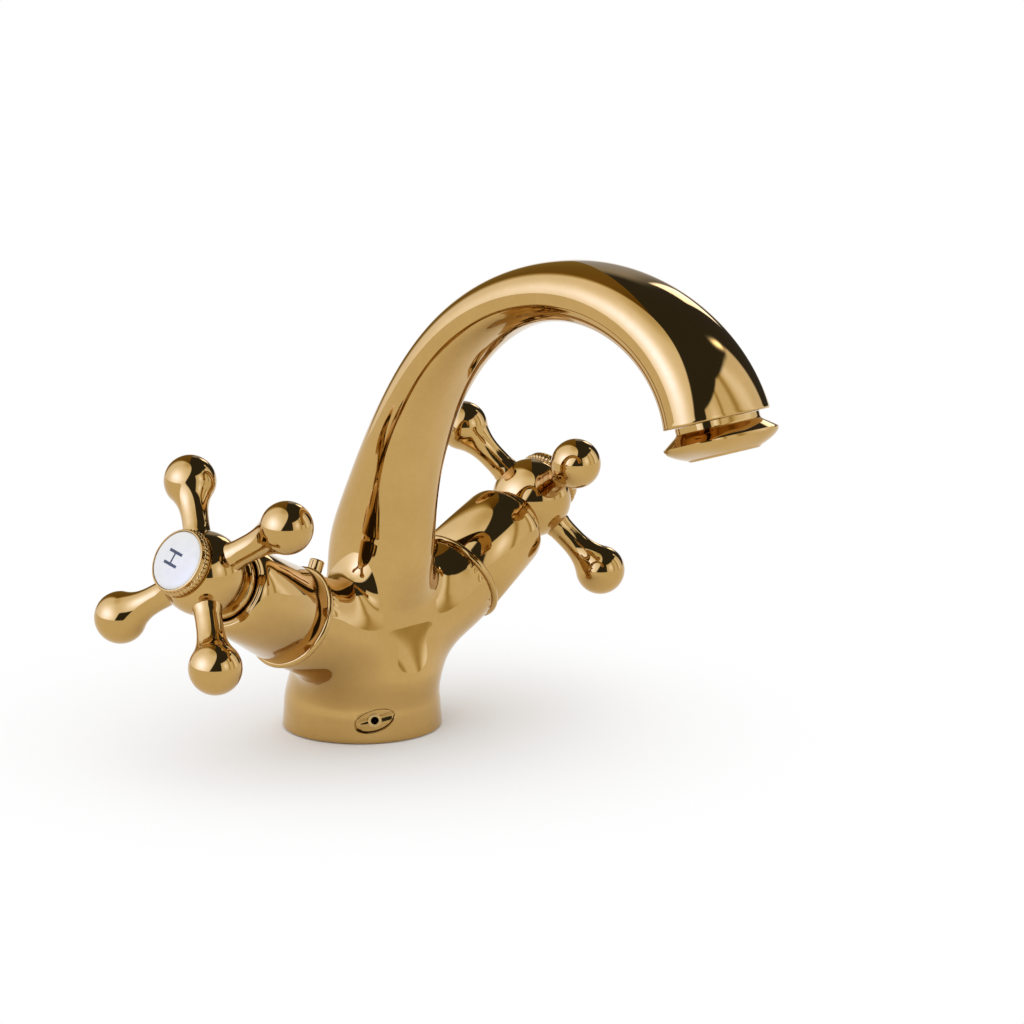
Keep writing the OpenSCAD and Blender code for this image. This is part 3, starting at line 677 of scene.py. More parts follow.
class Shell:
    """Collects the faces of one piece and turns them into an object."""

    def __init__(self) -> None:
        """Starts empty."""
        self.points: list[np.ndarray] = []
        self.faces: list[tuple[int, ...]] = []
        self.count = 0

    def add(self, points: np.ndarray, faces: Sequence[tuple[int, ...]], flip: bool = False) -> None:
        """Adds points and the faces between them.

        Args:
            points: an array of points in the row's space.
            faces: indices into points.
            flip: whether the faces' winding is reversed.
        """
        base = self.count
        self.points.append(np.asarray(points, float).reshape(-1, 3))
        self.count += len(self.points[-1])
        for face in faces:
            order = reversed(face) if flip else face
            self.faces.append(tuple(base + i for i in order))

    def loft(self, rings: np.ndarray, flip: bool = False, closed: bool = True) -> None:
        """Adds a skin through a stack of rings.

        Args:
            rings: array of rings, points and coordinates.
            flip: whether the winding is reversed.
            closed: whether each ring closes on itself.
        """
        stations, around = rings.shape[:2]
        last = around if closed else around - 1
        faces = []
        for i in range(stations - 1):
            here, above = i * around, (i + 1) * around
            for j in range(last):
                k = (j + 1) % around
                faces.append((here + j, here + k, above + k, above + j))
        self.add(rings.reshape(-1, 3), faces, flip)

    def cut_away(self, inside: Callable[[np.ndarray], np.ndarray]) -> None:
        """Removes the faces that have a corner inside a region.

        Args:
            inside: tells for an array of points which lie in the region.
        """
        gone = inside(np.concatenate(self.points))
        self.faces = [face for face in self.faces if not any(gone[i] for i in face)]

    def lathe(self, place: Place, outline: Outline, sides: int = 128) -> None:
        """Adds a turned surface.

        Args:
            place: frame whose Z is the axis.
            outline: points as (radius, height), running up the outside.
            sides: points around.
        """
        turn = np.linspace(0, 2 * np.pi, sides, endpoint=False)
        radius = np.array([p[0] for p in outline])[:, None]
        height = np.array([p[1] for p in outline])[:, None]
        rings = np.stack([radius * np.cos(turn), radius * np.sin(turn), height + 0 * turn], axis=-1)
        self.loft(place.out(rings), place.mirrored)

    def make(
        self,
        name: str,
        finish: Finish,
        body: str,
        nodes: Sequence[str] = (),
        sharp: float = 40.0,
    ) -> None:
        """Makes the object, hangs it on the body that it rides on, and hides the nodes that it stands for.

        Args:
            name: name of the piece.
            finish: its finish.
            body: the body that it rides on.
            nodes: the nodes that it stands for.
            sharp: angle in degrees above which an edge stays crisp.
        """
        made = self.placed(name, finish, sharp)
        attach(made, body)
        if nodes:
            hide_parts(*nodes)
        LOG.info("%s: %d faces on %s", name, len(made.data.polygons), body)

    def placed(self, name: str, finish: Finish, sharp: float) -> bpy.types.Object:
        """Cleans the mesh and puts it in the scene.

        Args:
            name: name of the piece.
            finish: its finish.
            sharp: angle in degrees above which an edge stays crisp.

        Returns:
            The object.
        """
        mesh = bpy.data.meshes.new(name)
        mesh.from_pydata(np.concatenate(self.points).tolist(), [], self.faces)
        work = bmesh.new()
        work.from_mesh(mesh)
        bmesh.ops.remove_doubles(work, verts=work.verts, dist=1e-7)
        bmesh.ops.dissolve_degenerate(work, edges=work.edges, dist=1e-8)
        loose = [point for point in work.verts if not point.link_faces]
        bmesh.ops.delete(work, geom=loose, context="VERTS")
        work.to_mesh(mesh)
        work.free()
        mesh.validate()
        mesh.shade_smooth()
        mesh.set_sharp_from_angle(angle=math.radians(sharp))
        mesh.materials.append(finish.material())
        return linked(name, mesh)


def smooth_step(value: np.ndarray) -> np.ndarray:
    """Eases a share from 0 to 1."""
    share = np.clip(value, 0, 1)
    return share * share * (3 - 2 * share)


def blended(first: np.ndarray, second: np.ndarray, width: np.ndarray | float) -> np.ndarray:
    """Smooth union of two distances over a blending width."""
    near = np.maximum(width - np.abs(first - second), 0) / width
    return np.minimum(first, second) - near**3 * width / 6


@dataclass
class Casting:
    """The cast body: foot, two valve arms, neck and spout, with the pocket of the chain eyelet."""

    foot_r: float = 24.0 * MM
    waist_r: float = 23.2 * MM
    waist_h: float = 16.0 * MM
    column_h: float = 7.0 * MM
    foot_edge: float = 0.6 * MM
    neck_root: float = 21.9 * MM
    neck_straight: float = 41.9 * MM
    neck_lean: float = math.radians(14.2)
    outlet_turn: float = math.radians(162.3)
    spout_path: float = 177.7 * MM
    bend_shares: tuple[float, ...] = (0.319, 0.571, 0.986, 1.031, 1.249, 2.007)
    neck_half_w: float = 13.2 * MM
    neck_half_d: float = 15.2 * MM
    throat_half_d: float = 8.2 * MM
    mouth_half_w: float = 17.9 * MM
    mouth_half_d: float = 10.8 * MM
    throat_share: float = 0.398
    taper_power: float = 2.53
    mouth_power: float = 2.42
    widen_share: float = 0.62
    widen_power: float = 1.5
    neck_swell: float = 15.0 * MM
    section_power: float = 2.3
    arm_tilt: float = math.radians(28.8)
    valve_z: float = 20.6 * MM
    valve_forward: float = 5.8 * MM
    arm_r: float = 13.8 * MM
    arm_end_r: float = 14.5 * MM
    arm_end: float = 39.0 * MM
    arm_flare_from: float = 22.0 * MM
    arm_flare_l: float = 15.0 * MM
    arm_land: float = 1.9 * MM
    land_root_r: float = 13.9 * MM
    land_bore_r: float = 11.0 * MM
    arm_blend: float = 12.0 * MM
    foot_blend: float = 16.0 * MM
    neck_blend: float = 13.8 * MM
    neck_front_blend: float = 24.0 * MM
    front_reach: float = 14.0 * MM
    front_from: float = 18.0 * MM
    blend_rise: float = 19.0 * MM
    aerator_bore: float = 6.1 * MM
    aerator_bore_l: float = 8.5 * MM
    groove_r: float = 21.8 * MM
    groove_bore_r: float = 19.2 * MM
    groove_h: float = 1.6 * MM
    inlet_x: float = 9.0 * MM
    inlet_y: float = -4.0 * MM
    inlet_r: float = 4.5 * MM
    inlet_l: float = 12.0 * MM
    stud_y: float = 11.0 * MM
    stud_r: float = 3.4 * MM
    stud_l: float = 14.0 * MM
    pocket_half_w: float = 6.2 * MM
    pocket_half_h: float = 3.2 * MM
    pocket_h: float = 6.8 * MM
    pocket_below: float = 3.0 * MM
    pocket_cut: float = 1.03
    pocket_turn: float = math.radians(36.5)
    pocket_tilt: float = math.radians(15)
    plate_depth: float = 0.80 * MM
    plate_curve: float = 42.0 * MM
    eyelet_r: float = 2.0 * MM
    mouth_edge: float = 0.5 * MM
    table_below: float = 60.0 * MM
    table_step: float = 0.25 * MM
    table_reach: int = 14
    sides: int = 224
    core_rings: int = 190
    spout_rings: int = 210

    def __post_init__(self) -> None:
        """Works out the directions and the smoothed depth and width of the spout."""
        self.lean_dir = np.array([0, -math.sin(self.neck_lean), math.cos(self.neck_lean)])
        self.lean_normal = np.array([0, math.cos(self.neck_lean), math.sin(self.neck_lean)])
        self.valve_origin = np.array([0, -self.valve_forward, self.valve_z])
        self.core = np.array([0, -3.0 * MM, 27.0 * MM])
        along = np.arange(-self.table_below, self.spout_path, self.table_step)
        self.depth_table = (along, self._eased(self._plain_depth(along), self.table_reach))
        self.width_table = (along, self._eased(self._plain_width(along), self.table_reach))

    @staticmethod
    def _eased(values: np.ndarray, reach: int) -> np.ndarray:
        """Smooths a table without moving its ends.

        Args:
            values: the table.
            reach: width of the smoothing in entries.

        Returns:
            The smoothed table.
        """
        pad = 3 * reach
        slope_in = values[1] - values[0]
        slope_out = values[-1] - values[-2]
        before = values[0] + slope_in * np.arange(-pad, 0)
        after = values[-1] + slope_out * np.arange(1, pad + 1)
        kernel = np.exp(-0.5 * (np.arange(-pad, pad + 1) / reach) ** 2)
        return np.convolve(np.concatenate([before, values, after]), kernel / kernel.sum(), "valid")

    def _plain_depth(self, along: np.ndarray) -> np.ndarray:
        """Half depth of the neck and spout along the path, from the straight neck's end.

        Args:
            along: distances along the path, below 0 on the straight neck.

        Returns:
            One half depth for each distance.
        """
        throat, throat_at = self.throat_half_d, self.throat_share
        u = np.maximum(along, 0) / self.spout_path
        slope = (self.neck_half_d - throat) * self.taper_power / (throat_at * self.spout_path)
        below = self.neck_half_d - slope * along * (1 + along / self.neck_swell)
        near = (self.neck_half_d - throat) * np.maximum(1 - u / throat_at, 0) ** self.taper_power
        late = np.maximum((u - throat_at) / (1 - throat_at), 0)
        far = (self.mouth_half_d - throat) * late**self.mouth_power
        return np.where(along < 0, np.maximum(below, throat), throat + near + far)

    def _plain_width(self, along: np.ndarray) -> np.ndarray:
        """Half width of the neck and spout along the path.

        Args:
            along: distances along the path, below 0 on the straight neck.

        Returns:
            One half width for each distance.
        """
        u = np.maximum(along, 0) / self.spout_path
        grow = np.maximum((u - self.widen_share) / (1 - self.widen_share), 0) ** self.widen_power
        return self.neck_half_w + (self.mouth_half_w - self.neck_half_w) * grow

    def bend(self, share: np.ndarray | float) -> np.ndarray | float:
        """Angle from upright of the spout at a share of its bent path.

        Args:
            share: share of the path, 0 to 1.

        Returns:
            The angle in radians.
        """
        sharp = np.array(self.bend_shares)
        swung = np.concatenate([[0.0], np.cumsum((sharp[1:] + sharp[:-1]) / 2)])
        along = np.asarray(share) * (len(sharp) - 1)
        k = np.minimum(along.astype(int), len(sharp) - 2)
        t = along - k
        swing = swung[k] + sharp[k] * t + (sharp[k + 1] - sharp[k]) * t * t / 2
        return self.neck_lean + (self.outlet_turn - self.neck_lean) * swing / swung[-1]

    def spine(self) -> np.ndarray:
        """Points of the spout's centre line, from the end of the straight neck to the outlet.

        Returns:
            An array of points.
        """
        step = self.spout_path / self.spout_rings
        middle = self.bend((np.arange(self.spout_rings) + 0.5) / self.spout_rings)
        moves = np.stack([0 * middle, -np.sin(middle), np.cos(middle)], axis=-1) * step
        start = np.array([0, 0, self.neck_root]) + self.lean_dir * self.neck_straight
        return start + np.concatenate([np.zeros((1, 3)), np.cumsum(moves, axis=0)])

    def outlet(self) -> Place:
        """Frame of the outlet: Z out of the spout, X across the faucet.

        Returns:
            The frame.
        """
        turn = self.outlet_turn
        axes = np.array(
            [[1, 0, 0], [0, math.cos(turn), math.sin(turn)], [0, -math.sin(turn), math.cos(turn)]], float
        )
        return Place(self.spine()[-1], axes)

    def valve(self, side: Side) -> Place:
        """Frame of a valve: Z out along its axis, X up and inwards, Y to the back.

        Args:
            side: which valve.

        Returns:
            The frame.
        """
        s, c = math.sin(self.arm_tilt), math.cos(self.arm_tilt)
        axes = np.array([[-side.sign * s, 0, c], [0, 1, 0], [side.sign * c, 0, s]], float)
        return Place(self.valve_origin, axes)

    def column_r(self, height: np.ndarray | float) -> np.ndarray | float:
        """Radius of the foot column at a height."""
        return self.waist_r + (self.foot_r - self.waist_r) * np.maximum(1 - height / self.waist_h, 0) ** 2

    def oval(self, turn: np.ndarray, half_w: float, half_d: float, power: float) -> np.ndarray:
        """Points of a rounded oval, by angle.

        Args:
            turn: angles in radians.
            half_w: half its width.
            half_d: half its depth.
            power: 2 for an ellipse, more for a squarer oval.

        Returns:
            Flat points.
        """
        across = half_w * np.sign(np.cos(turn)) * np.abs(np.cos(turn)) ** (2 / power)
        back = half_d * np.sign(np.sin(turn)) * np.abs(np.sin(turn)) ** (2 / power)
        return np.stack([across, back], axis=-1)

    def gap(self, points: np.ndarray) -> np.ndarray:
        """Distance-like value of the blended casting: below 0 inside.

        Args:
            points: array whose last axis holds the coordinates.

        Returns:
            One value for each point.
        """
        x, y, z = points[..., 0], points[..., 1], points[..., 2]
        column = np.sqrt(x * x + y * y + np.maximum(z - self.column_h, 0) ** 2) - self.column_r(z)
        arms = []
        for side in Side:
            axis = self.valve(side).axes[2]
            rel = points - self.valve_origin
            along = rel @ axis
            off = np.linalg.norm(rel - along[..., None] * axis, axis=-1)
            share = smooth_step((along - self.arm_flare_from) / self.arm_flare_l)
            flare = (self.arm_end_r - 0.05 * MM - self.arm_r) * share
            arms.append(np.hypot(off, np.minimum(along, 0)) - self.arm_r - flare)
        rel = points - np.array([0, 0, self.neck_root])
        along = rel @ self.lean_dir - self.neck_straight
        depth = np.interp(along, *self.depth_table)
        width = np.interp(along, *self.width_table)
        n = self.section_power
        ratio = ((np.abs(x) / width) ** n + (np.abs(rel @ self.lean_normal) / depth) ** n) ** (1 / n)
        neck = (ratio - 1) * np.minimum(width, depth)
        share = np.maximum(smooth_step(z / self.blend_rise), 1e-4)
        body = blended(column, blended(arms[0], arms[1], self.arm_blend), self.foot_blend * share)
        front = smooth_step(-y / self.front_reach) * smooth_step((z - self.front_from) / self.front_reach)
        width = self.neck_blend + (self.neck_front_blend - self.neck_blend) * front
        return blended(body, neck, width * share)

    def section_rings(self) -> np.ndarray:
        """Rings of the spout, from the end of the straight neck to just inside the outlet.

        Returns:
            Array of rings, points and coordinates.
        """
        turn = np.linspace(0, 2 * np.pi, self.sides, endpoint=False)
        path = self.spine()
        rings = []
        for i in range(self.spout_rings + 1):
            share = i / self.spout_rings
            if i == self.spout_rings:
                share -= 0.6 * self.mouth_edge / self.spout_path
            along = share * self.spout_path
            angle = self.bend(share)
            half_w = float(np.interp(along, *self.width_table))
            half_d = float(np.interp(along, *self.depth_table))
            flat = self.oval(turn, half_w, half_d, self.section_power)
            back = np.array([0, math.cos(angle), math.sin(angle)])
            centre = path[i] - (path[i] - path[i - 1]) * (0.6 if i == self.spout_rings else 0)
            rings.append(centre + flat[:, :1] * np.array([1.0, 0, 0]) + flat[:, 1:] * back)
        return np.array(rings)

    def _foot_tilt(self, side_dir: np.ndarray, start_z: float) -> np.ndarray:
        """Angle from the neck's direction at which a ray from the core meets the foot's first ring.

        Args:
            side_dir: direction of each half plane, at right angles to the neck.
            start_z: height of the first ring.

        Returns:
            One angle for each half plane.
        """
        target = self.column_r(start_z)

        def narrow(tilt: np.ndarray) -> np.ndarray:
            """Tells where rays hit the ring's plane inside the foot.

            Args:
                tilt: angle of each ray from the neck's direction.

            Returns:
                One answer for each ray.
            """
            ray = self.lean_dir * np.cos(tilt)[:, None] + side_dir * np.sin(tilt)[:, None]
            down = np.minimum(ray[:, 2], -1e-6)
            hit = self.core + ray * ((start_z - self.core[2]) / down)[:, None]
            return np.hypot(hit[:, 0], hit[:, 1]) <= target

        level = np.full(len(side_dir), math.pi / 2)
        return bisected(level, level * 2, narrow)

    def core_skin(self, top: np.ndarray) -> np.ndarray:
        """Rings of the body, from the foot's edge up to the neck.

        Args:
            top: the spout's first ring.

        Returns:
            The rings, the last of which is the one just below top.
        """
        to_top = top - self.core
        to_top /= np.linalg.norm(to_top, axis=1)[:, None]
        off_axis = to_top - np.outer(to_top @ self.lean_dir, self.lean_dir)
        side_dir = off_axis / np.linalg.norm(off_axis, axis=1)[:, None]
        tilt_top = np.arccos(to_top @ self.lean_dir)
        tilt_foot = self._foot_tilt(side_dir, self.foot_edge)
        share = (np.arange(self.core_rings) / self.core_rings)[:, None]
        tilt = tilt_foot + (tilt_top - tilt_foot) * share
        rays = self.lean_dir * np.cos(tilt)[..., None] + side_dir * np.sin(tilt)[..., None]
        limit = np.full(tilt.shape, 90 * MM)
        land = self.arm_end - 0.02 * MM
        for side in Side:
            axis = self.valve(side).axes[2]
            run = rays @ axis
            reach = land - float((self.core - self.valve_origin) @ axis)
            limit = np.where(run > 1e-9, np.minimum(limit, reach / np.maximum(run, 1e-9)), limit)
        reach = bisected(0 * limit, limit, lambda out: self.gap(self.core + rays * out[..., None]) > 0)
        return self.core + rays * reach[..., None]

    def mouth_rings(self, last: np.ndarray) -> np.ndarray:
        """Rings that round the spout's end and run in to the aerator's bore.

        Args:
            last: the spout's last ring.

        Returns:
            The rings, starting with last.
        """
        place = self.outlet()
        local = (last - place.origin) @ place.axes.T
        turn = np.arctan2(local[:, 1], local[:, 0])
        length = np.linalg.norm(local[:, :2], axis=1)
        rings = [last]
        start = float(local[0, 2])
        edge = -start
        for cos, sin in quarter(5)[1:]:
            shrink = 1 - edge * (1 - cos) / length
            rings.append(place.out(lifted(local[:, :2] * shrink[:, None], start + edge * sin)))
        bore = circle(self.aerator_bore, turn)
        for share in (0.3, 0.7, 1.0):
            flat = local[:, :2] * (1 - edge / length)[:, None] * (1 - share) + bore * share
            rings.append(place.out(lifted(flat, 0.0)))
        rings.append(place.out(lifted(bore, -self.aerator_bore_l)))
        return np.array(rings)

    def foot_rings(self, first: np.ndarray) -> np.ndarray:
        """Rings of the rounded lower edge, from the standing face up to the first ring of the body.

        Args:
            first: the body's first ring.

        Returns:
            The rings, ending with first.
        """
        turn = np.arctan2(first[:, 1], first[:, 0])
        rings = []
        edge = self.foot_edge
        for cos, sin in quarter(5)[:-1]:
            radius = self.column_r(edge) - edge * (1 - sin)
            rings.append(lifted(circle(radius, turn), edge * (1 - cos)))
        rings.append(first)
        return np.array(rings)

    def underside(self, shell: Shell) -> None:
        """Adds the standing face with its gasket groove, the two inlet threads and the stud thread.

        Args:
            shell: the shell that takes the faces.
        """
        outer_r = self.column_r(self.foot_edge) - self.foot_edge
        groove = [(self.groove_bore_r, 0.0), (self.groove_bore_r, self.groove_h)]
        groove += [(self.groove_r, self.groove_h), (self.groove_r, 0.0), (outer_r, 0.0)]
        shell.lathe(UPRIGHT, groove, self.sides)
        bores = [(x, self.inlet_y, self.inlet_r, self.inlet_l) for x in (-self.inlet_x, self.inlet_x)]
        bores.append((0.0, self.stud_y, self.stud_r, self.stud_l))
        loops = []
        edges = [(0.0, 0.0, self.groove_bore_r, self.sides)]
        edges += [(x, y, radius, 48) for x, y, radius, _ in bores]
        for x, y, radius, sides in edges:
            turn = np.arange(sides) * 2 * math.pi / sides
            loops.append([Vector(p) for p in lifted(circle(radius, turn) + (x, y), 0.0)])
        points = [p for loop in loops for p in loop]
        triangles = tessellate_polygon(loops)
        shell.add(np.array(points), [tuple(t) for t in triangles], flip=_faces_up(points, triangles))
        for x, y, radius, depth in bores:
            place = Place(np.array([x, y, 0.0]), np.eye(3))
            shell.lathe(place, self._thread(radius, depth), 48)

    @staticmethod
    def _thread(radius: float, depth: float) -> Outline:
        """Outline of an internal thread, from its blind end down to its mouth.

        Args:
            radius: radius of its wall.
            depth: its depth.

        Returns:
            The outline.
        """
        pitch, crest = 1.0 * MM, 0.35 * MM
        outline: Outline = [(0.0, depth), (radius, depth)]
        turns = int(depth / pitch)
        for i in range(1, turns):
            outline.append((radius - crest, depth - (i - 0.5) * pitch))
            outline.append((radius, depth - i * pitch))
        outline.append((radius, 0.0))
        return outline

    def pocket(self) -> Place:
        """Frame of the eyelet's pocket: Z out of the foot, X along the pocket.

        Returns:
            The frame.
        """
        s, c = math.sin(self.pocket_turn), math.cos(self.pocket_turn)
        along, up, out = np.array([c, -s, 0]), np.array([0.0, 0, 1]), np.array([-s, -c, 0])
        tilt_s, tilt_c = math.sin(self.pocket_tilt), math.cos(self.pocket_tilt)
        middle = np.array([0, 0, self.pocket_h]) + out * self.column_r(self.pocket_h)
        return Place(middle, np.array([along * tilt_c + up * tilt_s, up * tilt_c - along * tilt_s, out]))

    def _in_pocket(self, points: np.ndarray, reach: float) -> np.ndarray:
        """Whether points of the foot lie within the pocket's oval grown by a factor.

        Args:
            points: points in the row's space.
            reach: the factor.

        Returns:
            One answer for each point.
        """
        place = self.pocket()
        local = (points - place.origin) @ place.axes.T
        spread = np.hypot(local[:, 0] / self.pocket_half_w, local[:, 1] / self.pocket_half_h)
        return (spread < reach) & (local[:, 2] > -self.pocket_below)

    def _foot_height(self, flat: np.ndarray) -> np.ndarray:
        """Height of the foot's skin in the pocket's frame.

        Args:
            flat: points along and up the pocket.

        Returns:
            One height for each point.
        """
        place = self.pocket()
        low = np.full(len(flat), -5 * MM)
        high = np.full(len(flat), 3 * MM)
        return bisected(low, high, lambda height: self.gap(place.out(lifted(flat, height))) > 0)

    def pocket_rings(self) -> np.ndarray:
        """Rings of the pocket: its rounded edge, the groove round the plate, and the plate.

        Returns:
            Array of rings, points and coordinates.
        """
        turn = np.linspace(0, 2 * np.pi, 160, endpoint=False)
        oval = circle(1.0, turn) * (self.pocket_half_w, self.pocket_half_h)
        # pairs of a share of the oval and a drop in mm below the foot's skin, then below the plate
        lips = [(1.20, 0.03), (1.13, 0.0), (1.08, 0.0), (1.04, 0.0), (1.015, 0.03), (1.0, 0.12), (0.99, 0.3)]
        rings = []
        for share, drop in lips:
            rings.append(lifted(oval * share, self._foot_height(oval * share) - drop * MM))
        plate = [(0.98, 0.35), (0.95, 0.35), (0.94, 0.08), (0.92, 0.0), (0.85, 0.0), (0.7, 0.0), (0.6, 0.0)]
        flats = [(oval * share, drop) for share, drop in plate]
        flats.append((circle(self.eyelet_r - 0.1 * MM, turn), 0.0))
        for flat, drop in flats:
            level = -self.plate_depth - flat[:, 0] ** 2 / (2 * self.plate_curve)
            rings.append(lifted(flat, np.minimum(level, rings[0][:, 2]) - drop * MM))
        return self.pocket().out(np.array(rings))

    def build(self) -> None:
        """Builds the casting."""
        shell = Shell()
        spout = self.section_rings()
        body = self.core_skin(spout[0])
        ends = self.foot_rings(body[0]), self.mouth_rings(spout[-1])
        shell.loft(np.concatenate([ends[0], body[1:], spout[:-1], ends[1]]))
        shell.cut_away(lambda points: self._in_pocket(points, self.pocket_cut))
        shell.loft(self.pocket_rings())
        land_r = self.arm_end_r - 0.08 * MM
        land = [(self.land_root_r, self.arm_end - self.arm_land, 0)]
        land += [(land_r, self.arm_end - self.arm_land, 0.25 * MM), (land_r, self.arm_end, 0.1 * MM)]
        land.append((self.land_bore_r, self.arm_end, 0))
        for side in Side:
            shell.lathe(self.valve(side), rounded(land))
        self.underside(shell)
        shell.make("cast_body", GOLD, BODY, ["casting"])


def _faces_up(points: Sequence[Vector], triangles: Sequence[Sequence[int]]) -> bool:
    """Whether the first triangle faces up."""
    a, b, c = (points[i] for i in triangles[0])
    return (b - a).cross(c - a).z > 0


@dataclass
class Outlet:
    """The flared shroud below the spout's end, and the aerator in it."""

    casting: Casting
    half_w: float = 17.9 * MM
    half_d: float = 11.0 * MM
    neck_share: float = 0.735
    face_share: float = 0.68
    face_draw: float = 4.2 * MM
    bowl_power: float = 2.0
    neck_h: float = 1.7 * MM
    flare_h: float = 3.4 * MM
    bowl_h: float = 4.6 * MM
    power: float = 3.0
    start: float = 0.1 * MM
    thread_r: float = 6.0 * MM
    flange_r: float = 6.8 * MM
    inner_r: float = 4.8 * MM
    flange_t: float = 1.3 * MM
    thread_from: float = -7.0 * MM
    rim_band: float = 0.15 * MM
    face_edge: float = 0.5 * MM
    bore_play: float = 0.12 * MM
    sides: int = 160

    @property
    def end(self) -> float:
        """Distance of the shroud's face from the spout's end."""
        return self.start + self.neck_h + self.flare_h + self.bowl_h

    def _section(self, share: float, inset: float, height: float, draw: float = 0.0) -> np.ndarray:
        """One ring of the shroud.

        Args:
            share: the ring's size as a share of the largest.
            inset: how far the ring is drawn in.
            height: distance along the outlet's axis.
            draw: how far its two ends are drawn in besides.

        Returns:
            The ring, in the outlet's frame.
        """
        turn = np.linspace(0, 2 * np.pi, self.sides, endpoint=False)
        half_w = self.half_w * share - inset - draw
        flat = self.casting.oval(turn, half_w, self.half_d * share - inset, self.power)
        return lifted(flat, height)

    def _bowl_section(self, depth: float, inset: float, height: float) -> np.ndarray:
        """One ring of the shroud's rounded underside.

        Args:
            depth: share of the underside's depth, 0 at its widest.
            inset: how far the ring is drawn in.
            height: distance along the outlet's axis.

        Returns:
            The ring, in the outlet's frame.
        """
        full = depth**self.bowl_power
        return self._section(1 - (1 - self.face_share) * full, inset, height, self.face_draw * full)

    def shroud(self) -> None:
        """Builds the shroud: a recessed neck, a flare and a rounded underside."""
        neck_end = self.start + self.neck_h
        rim_at = neck_end + self.flare_h
        rings = [self._section(self.neck_share, 0, self.start + self.neck_h * t) for t in (0.0, 0.5, 0.8)]
        for i in range(13):
            t = i / 12
            ease = t + 0.06 * (math.exp(-t * 14) - 1) * (1 - t)
            rise = neck_end + (self.flare_h - self.rim_band) * t
            rings.append(self._section(self.neck_share + (1 - self.neck_share) * ease, 0, rise))
        rings.append(self._section(1, 0, rim_at + self.rim_band))
        edge = self.face_edge
        bowl = (self.bowl_h - edge) / self.bowl_h
        for i in range(1, 17):
            t = i / 16 * bowl
            rings.append(self._bowl_section(t, 0, rim_at + self.bowl_h * t))
        for cos, sin in quarter(6)[1:]:
            drop = 0.45 * edge * sin + edge * (1 - cos)
            rings.append(self._bowl_section(bowl, drop, self.end - edge * (1 - sin)))
        face = rings[-1][:, :2]
        bore = circle(self.flange_r + self.bore_play, np.arctan2(face[:, 1], face[:, 0]))
        for share in (0.35, 0.75, 1.0):
            rings.append(lifted(face * (1 - share) + bore * share, self.end))
        rings.append(lifted(bore, self.end - self.flange_t - 0.1 * MM))
        shell = Shell()
        shell.loft(self.casting.outlet().out(np.array(rings)))
        shell.make("outlet_flare", GOLD, BODY, ["outlet_shroud"], sharp=32)

    def aerator(self) -> None:
        """Builds the aerator's ring, which holds the honeycomb insert."""
        face = self.end - 0.05 * MM
        outline = rounded(
            [
                (self.thread_r, self.thread_from, 0),
                (self.thread_r, self.end - self.flange_t, 0.1 * MM),
                (self.flange_r, self.end - self.flange_t, 0.15 * MM),
                (self.flange_r, face, 0.3 * MM),
                (self.inner_r + 0.6 * MM, face, 0.25 * MM),
                (self.inner_r, face - 0.6 * MM, 0.1 * MM),
                (self.inner_r, self.thread_from, 0),
            ]
        )
        shell = Shell()
        shell.lathe(self.casting.outlet(), outline)
        shell.make("aerator_ring", GOLD, BODY, ["aerator_housing"])


@dataclass
class OnValve:
    """What stands on one valve axis, and rides on the faucet's body unless it turns."""

    casting: Casting
    side: Side

    @property
    def body(self) -> str:
        """Name of the body that the pieces ride on."""
        return BODY

    @property
    def axis(self) -> Place:
        """Frame of the valve, whose Z is its axis."""
        return self.casting.valve(self.side)

    def _make(
        self,
        shell: Shell,
        name: str,
        node: str = "",
        sharp: float = 40.0,
        finish: Finish = GOLD,
        slot: Slot = Slot.GOLD,
    ) -> None:
        """Makes one piece of this side.

        Args:
            shell: its faces.
            name: name without the side.
            node: the node that it stands for, without the side.
            sharp: angle in degrees above which an edge stays crisp.
            finish: its finish.
            slot: not used.
        """
        prefix = self.side.value
        nodes = [f"{prefix}_{node}"] if node else []
        shell.make(f"{prefix}_{name}", finish, self.body, nodes, sharp)

    def _turned(self, outline: Outline, name: str, node: str, sharp: float = 40.0) -> None:
        """Makes one gold piece that is turned about the valve's axis.

        Args:
            outline: points as (radius, height), running up the outside.
            name: name without the side.
            node: the node that it stands for, without the side.
            sharp: angle in degrees above which an edge stays crisp.
        """
        shell = Shell()
        shell.lathe(self.axis, outline, 160)
        self._make(shell, name, node, sharp)


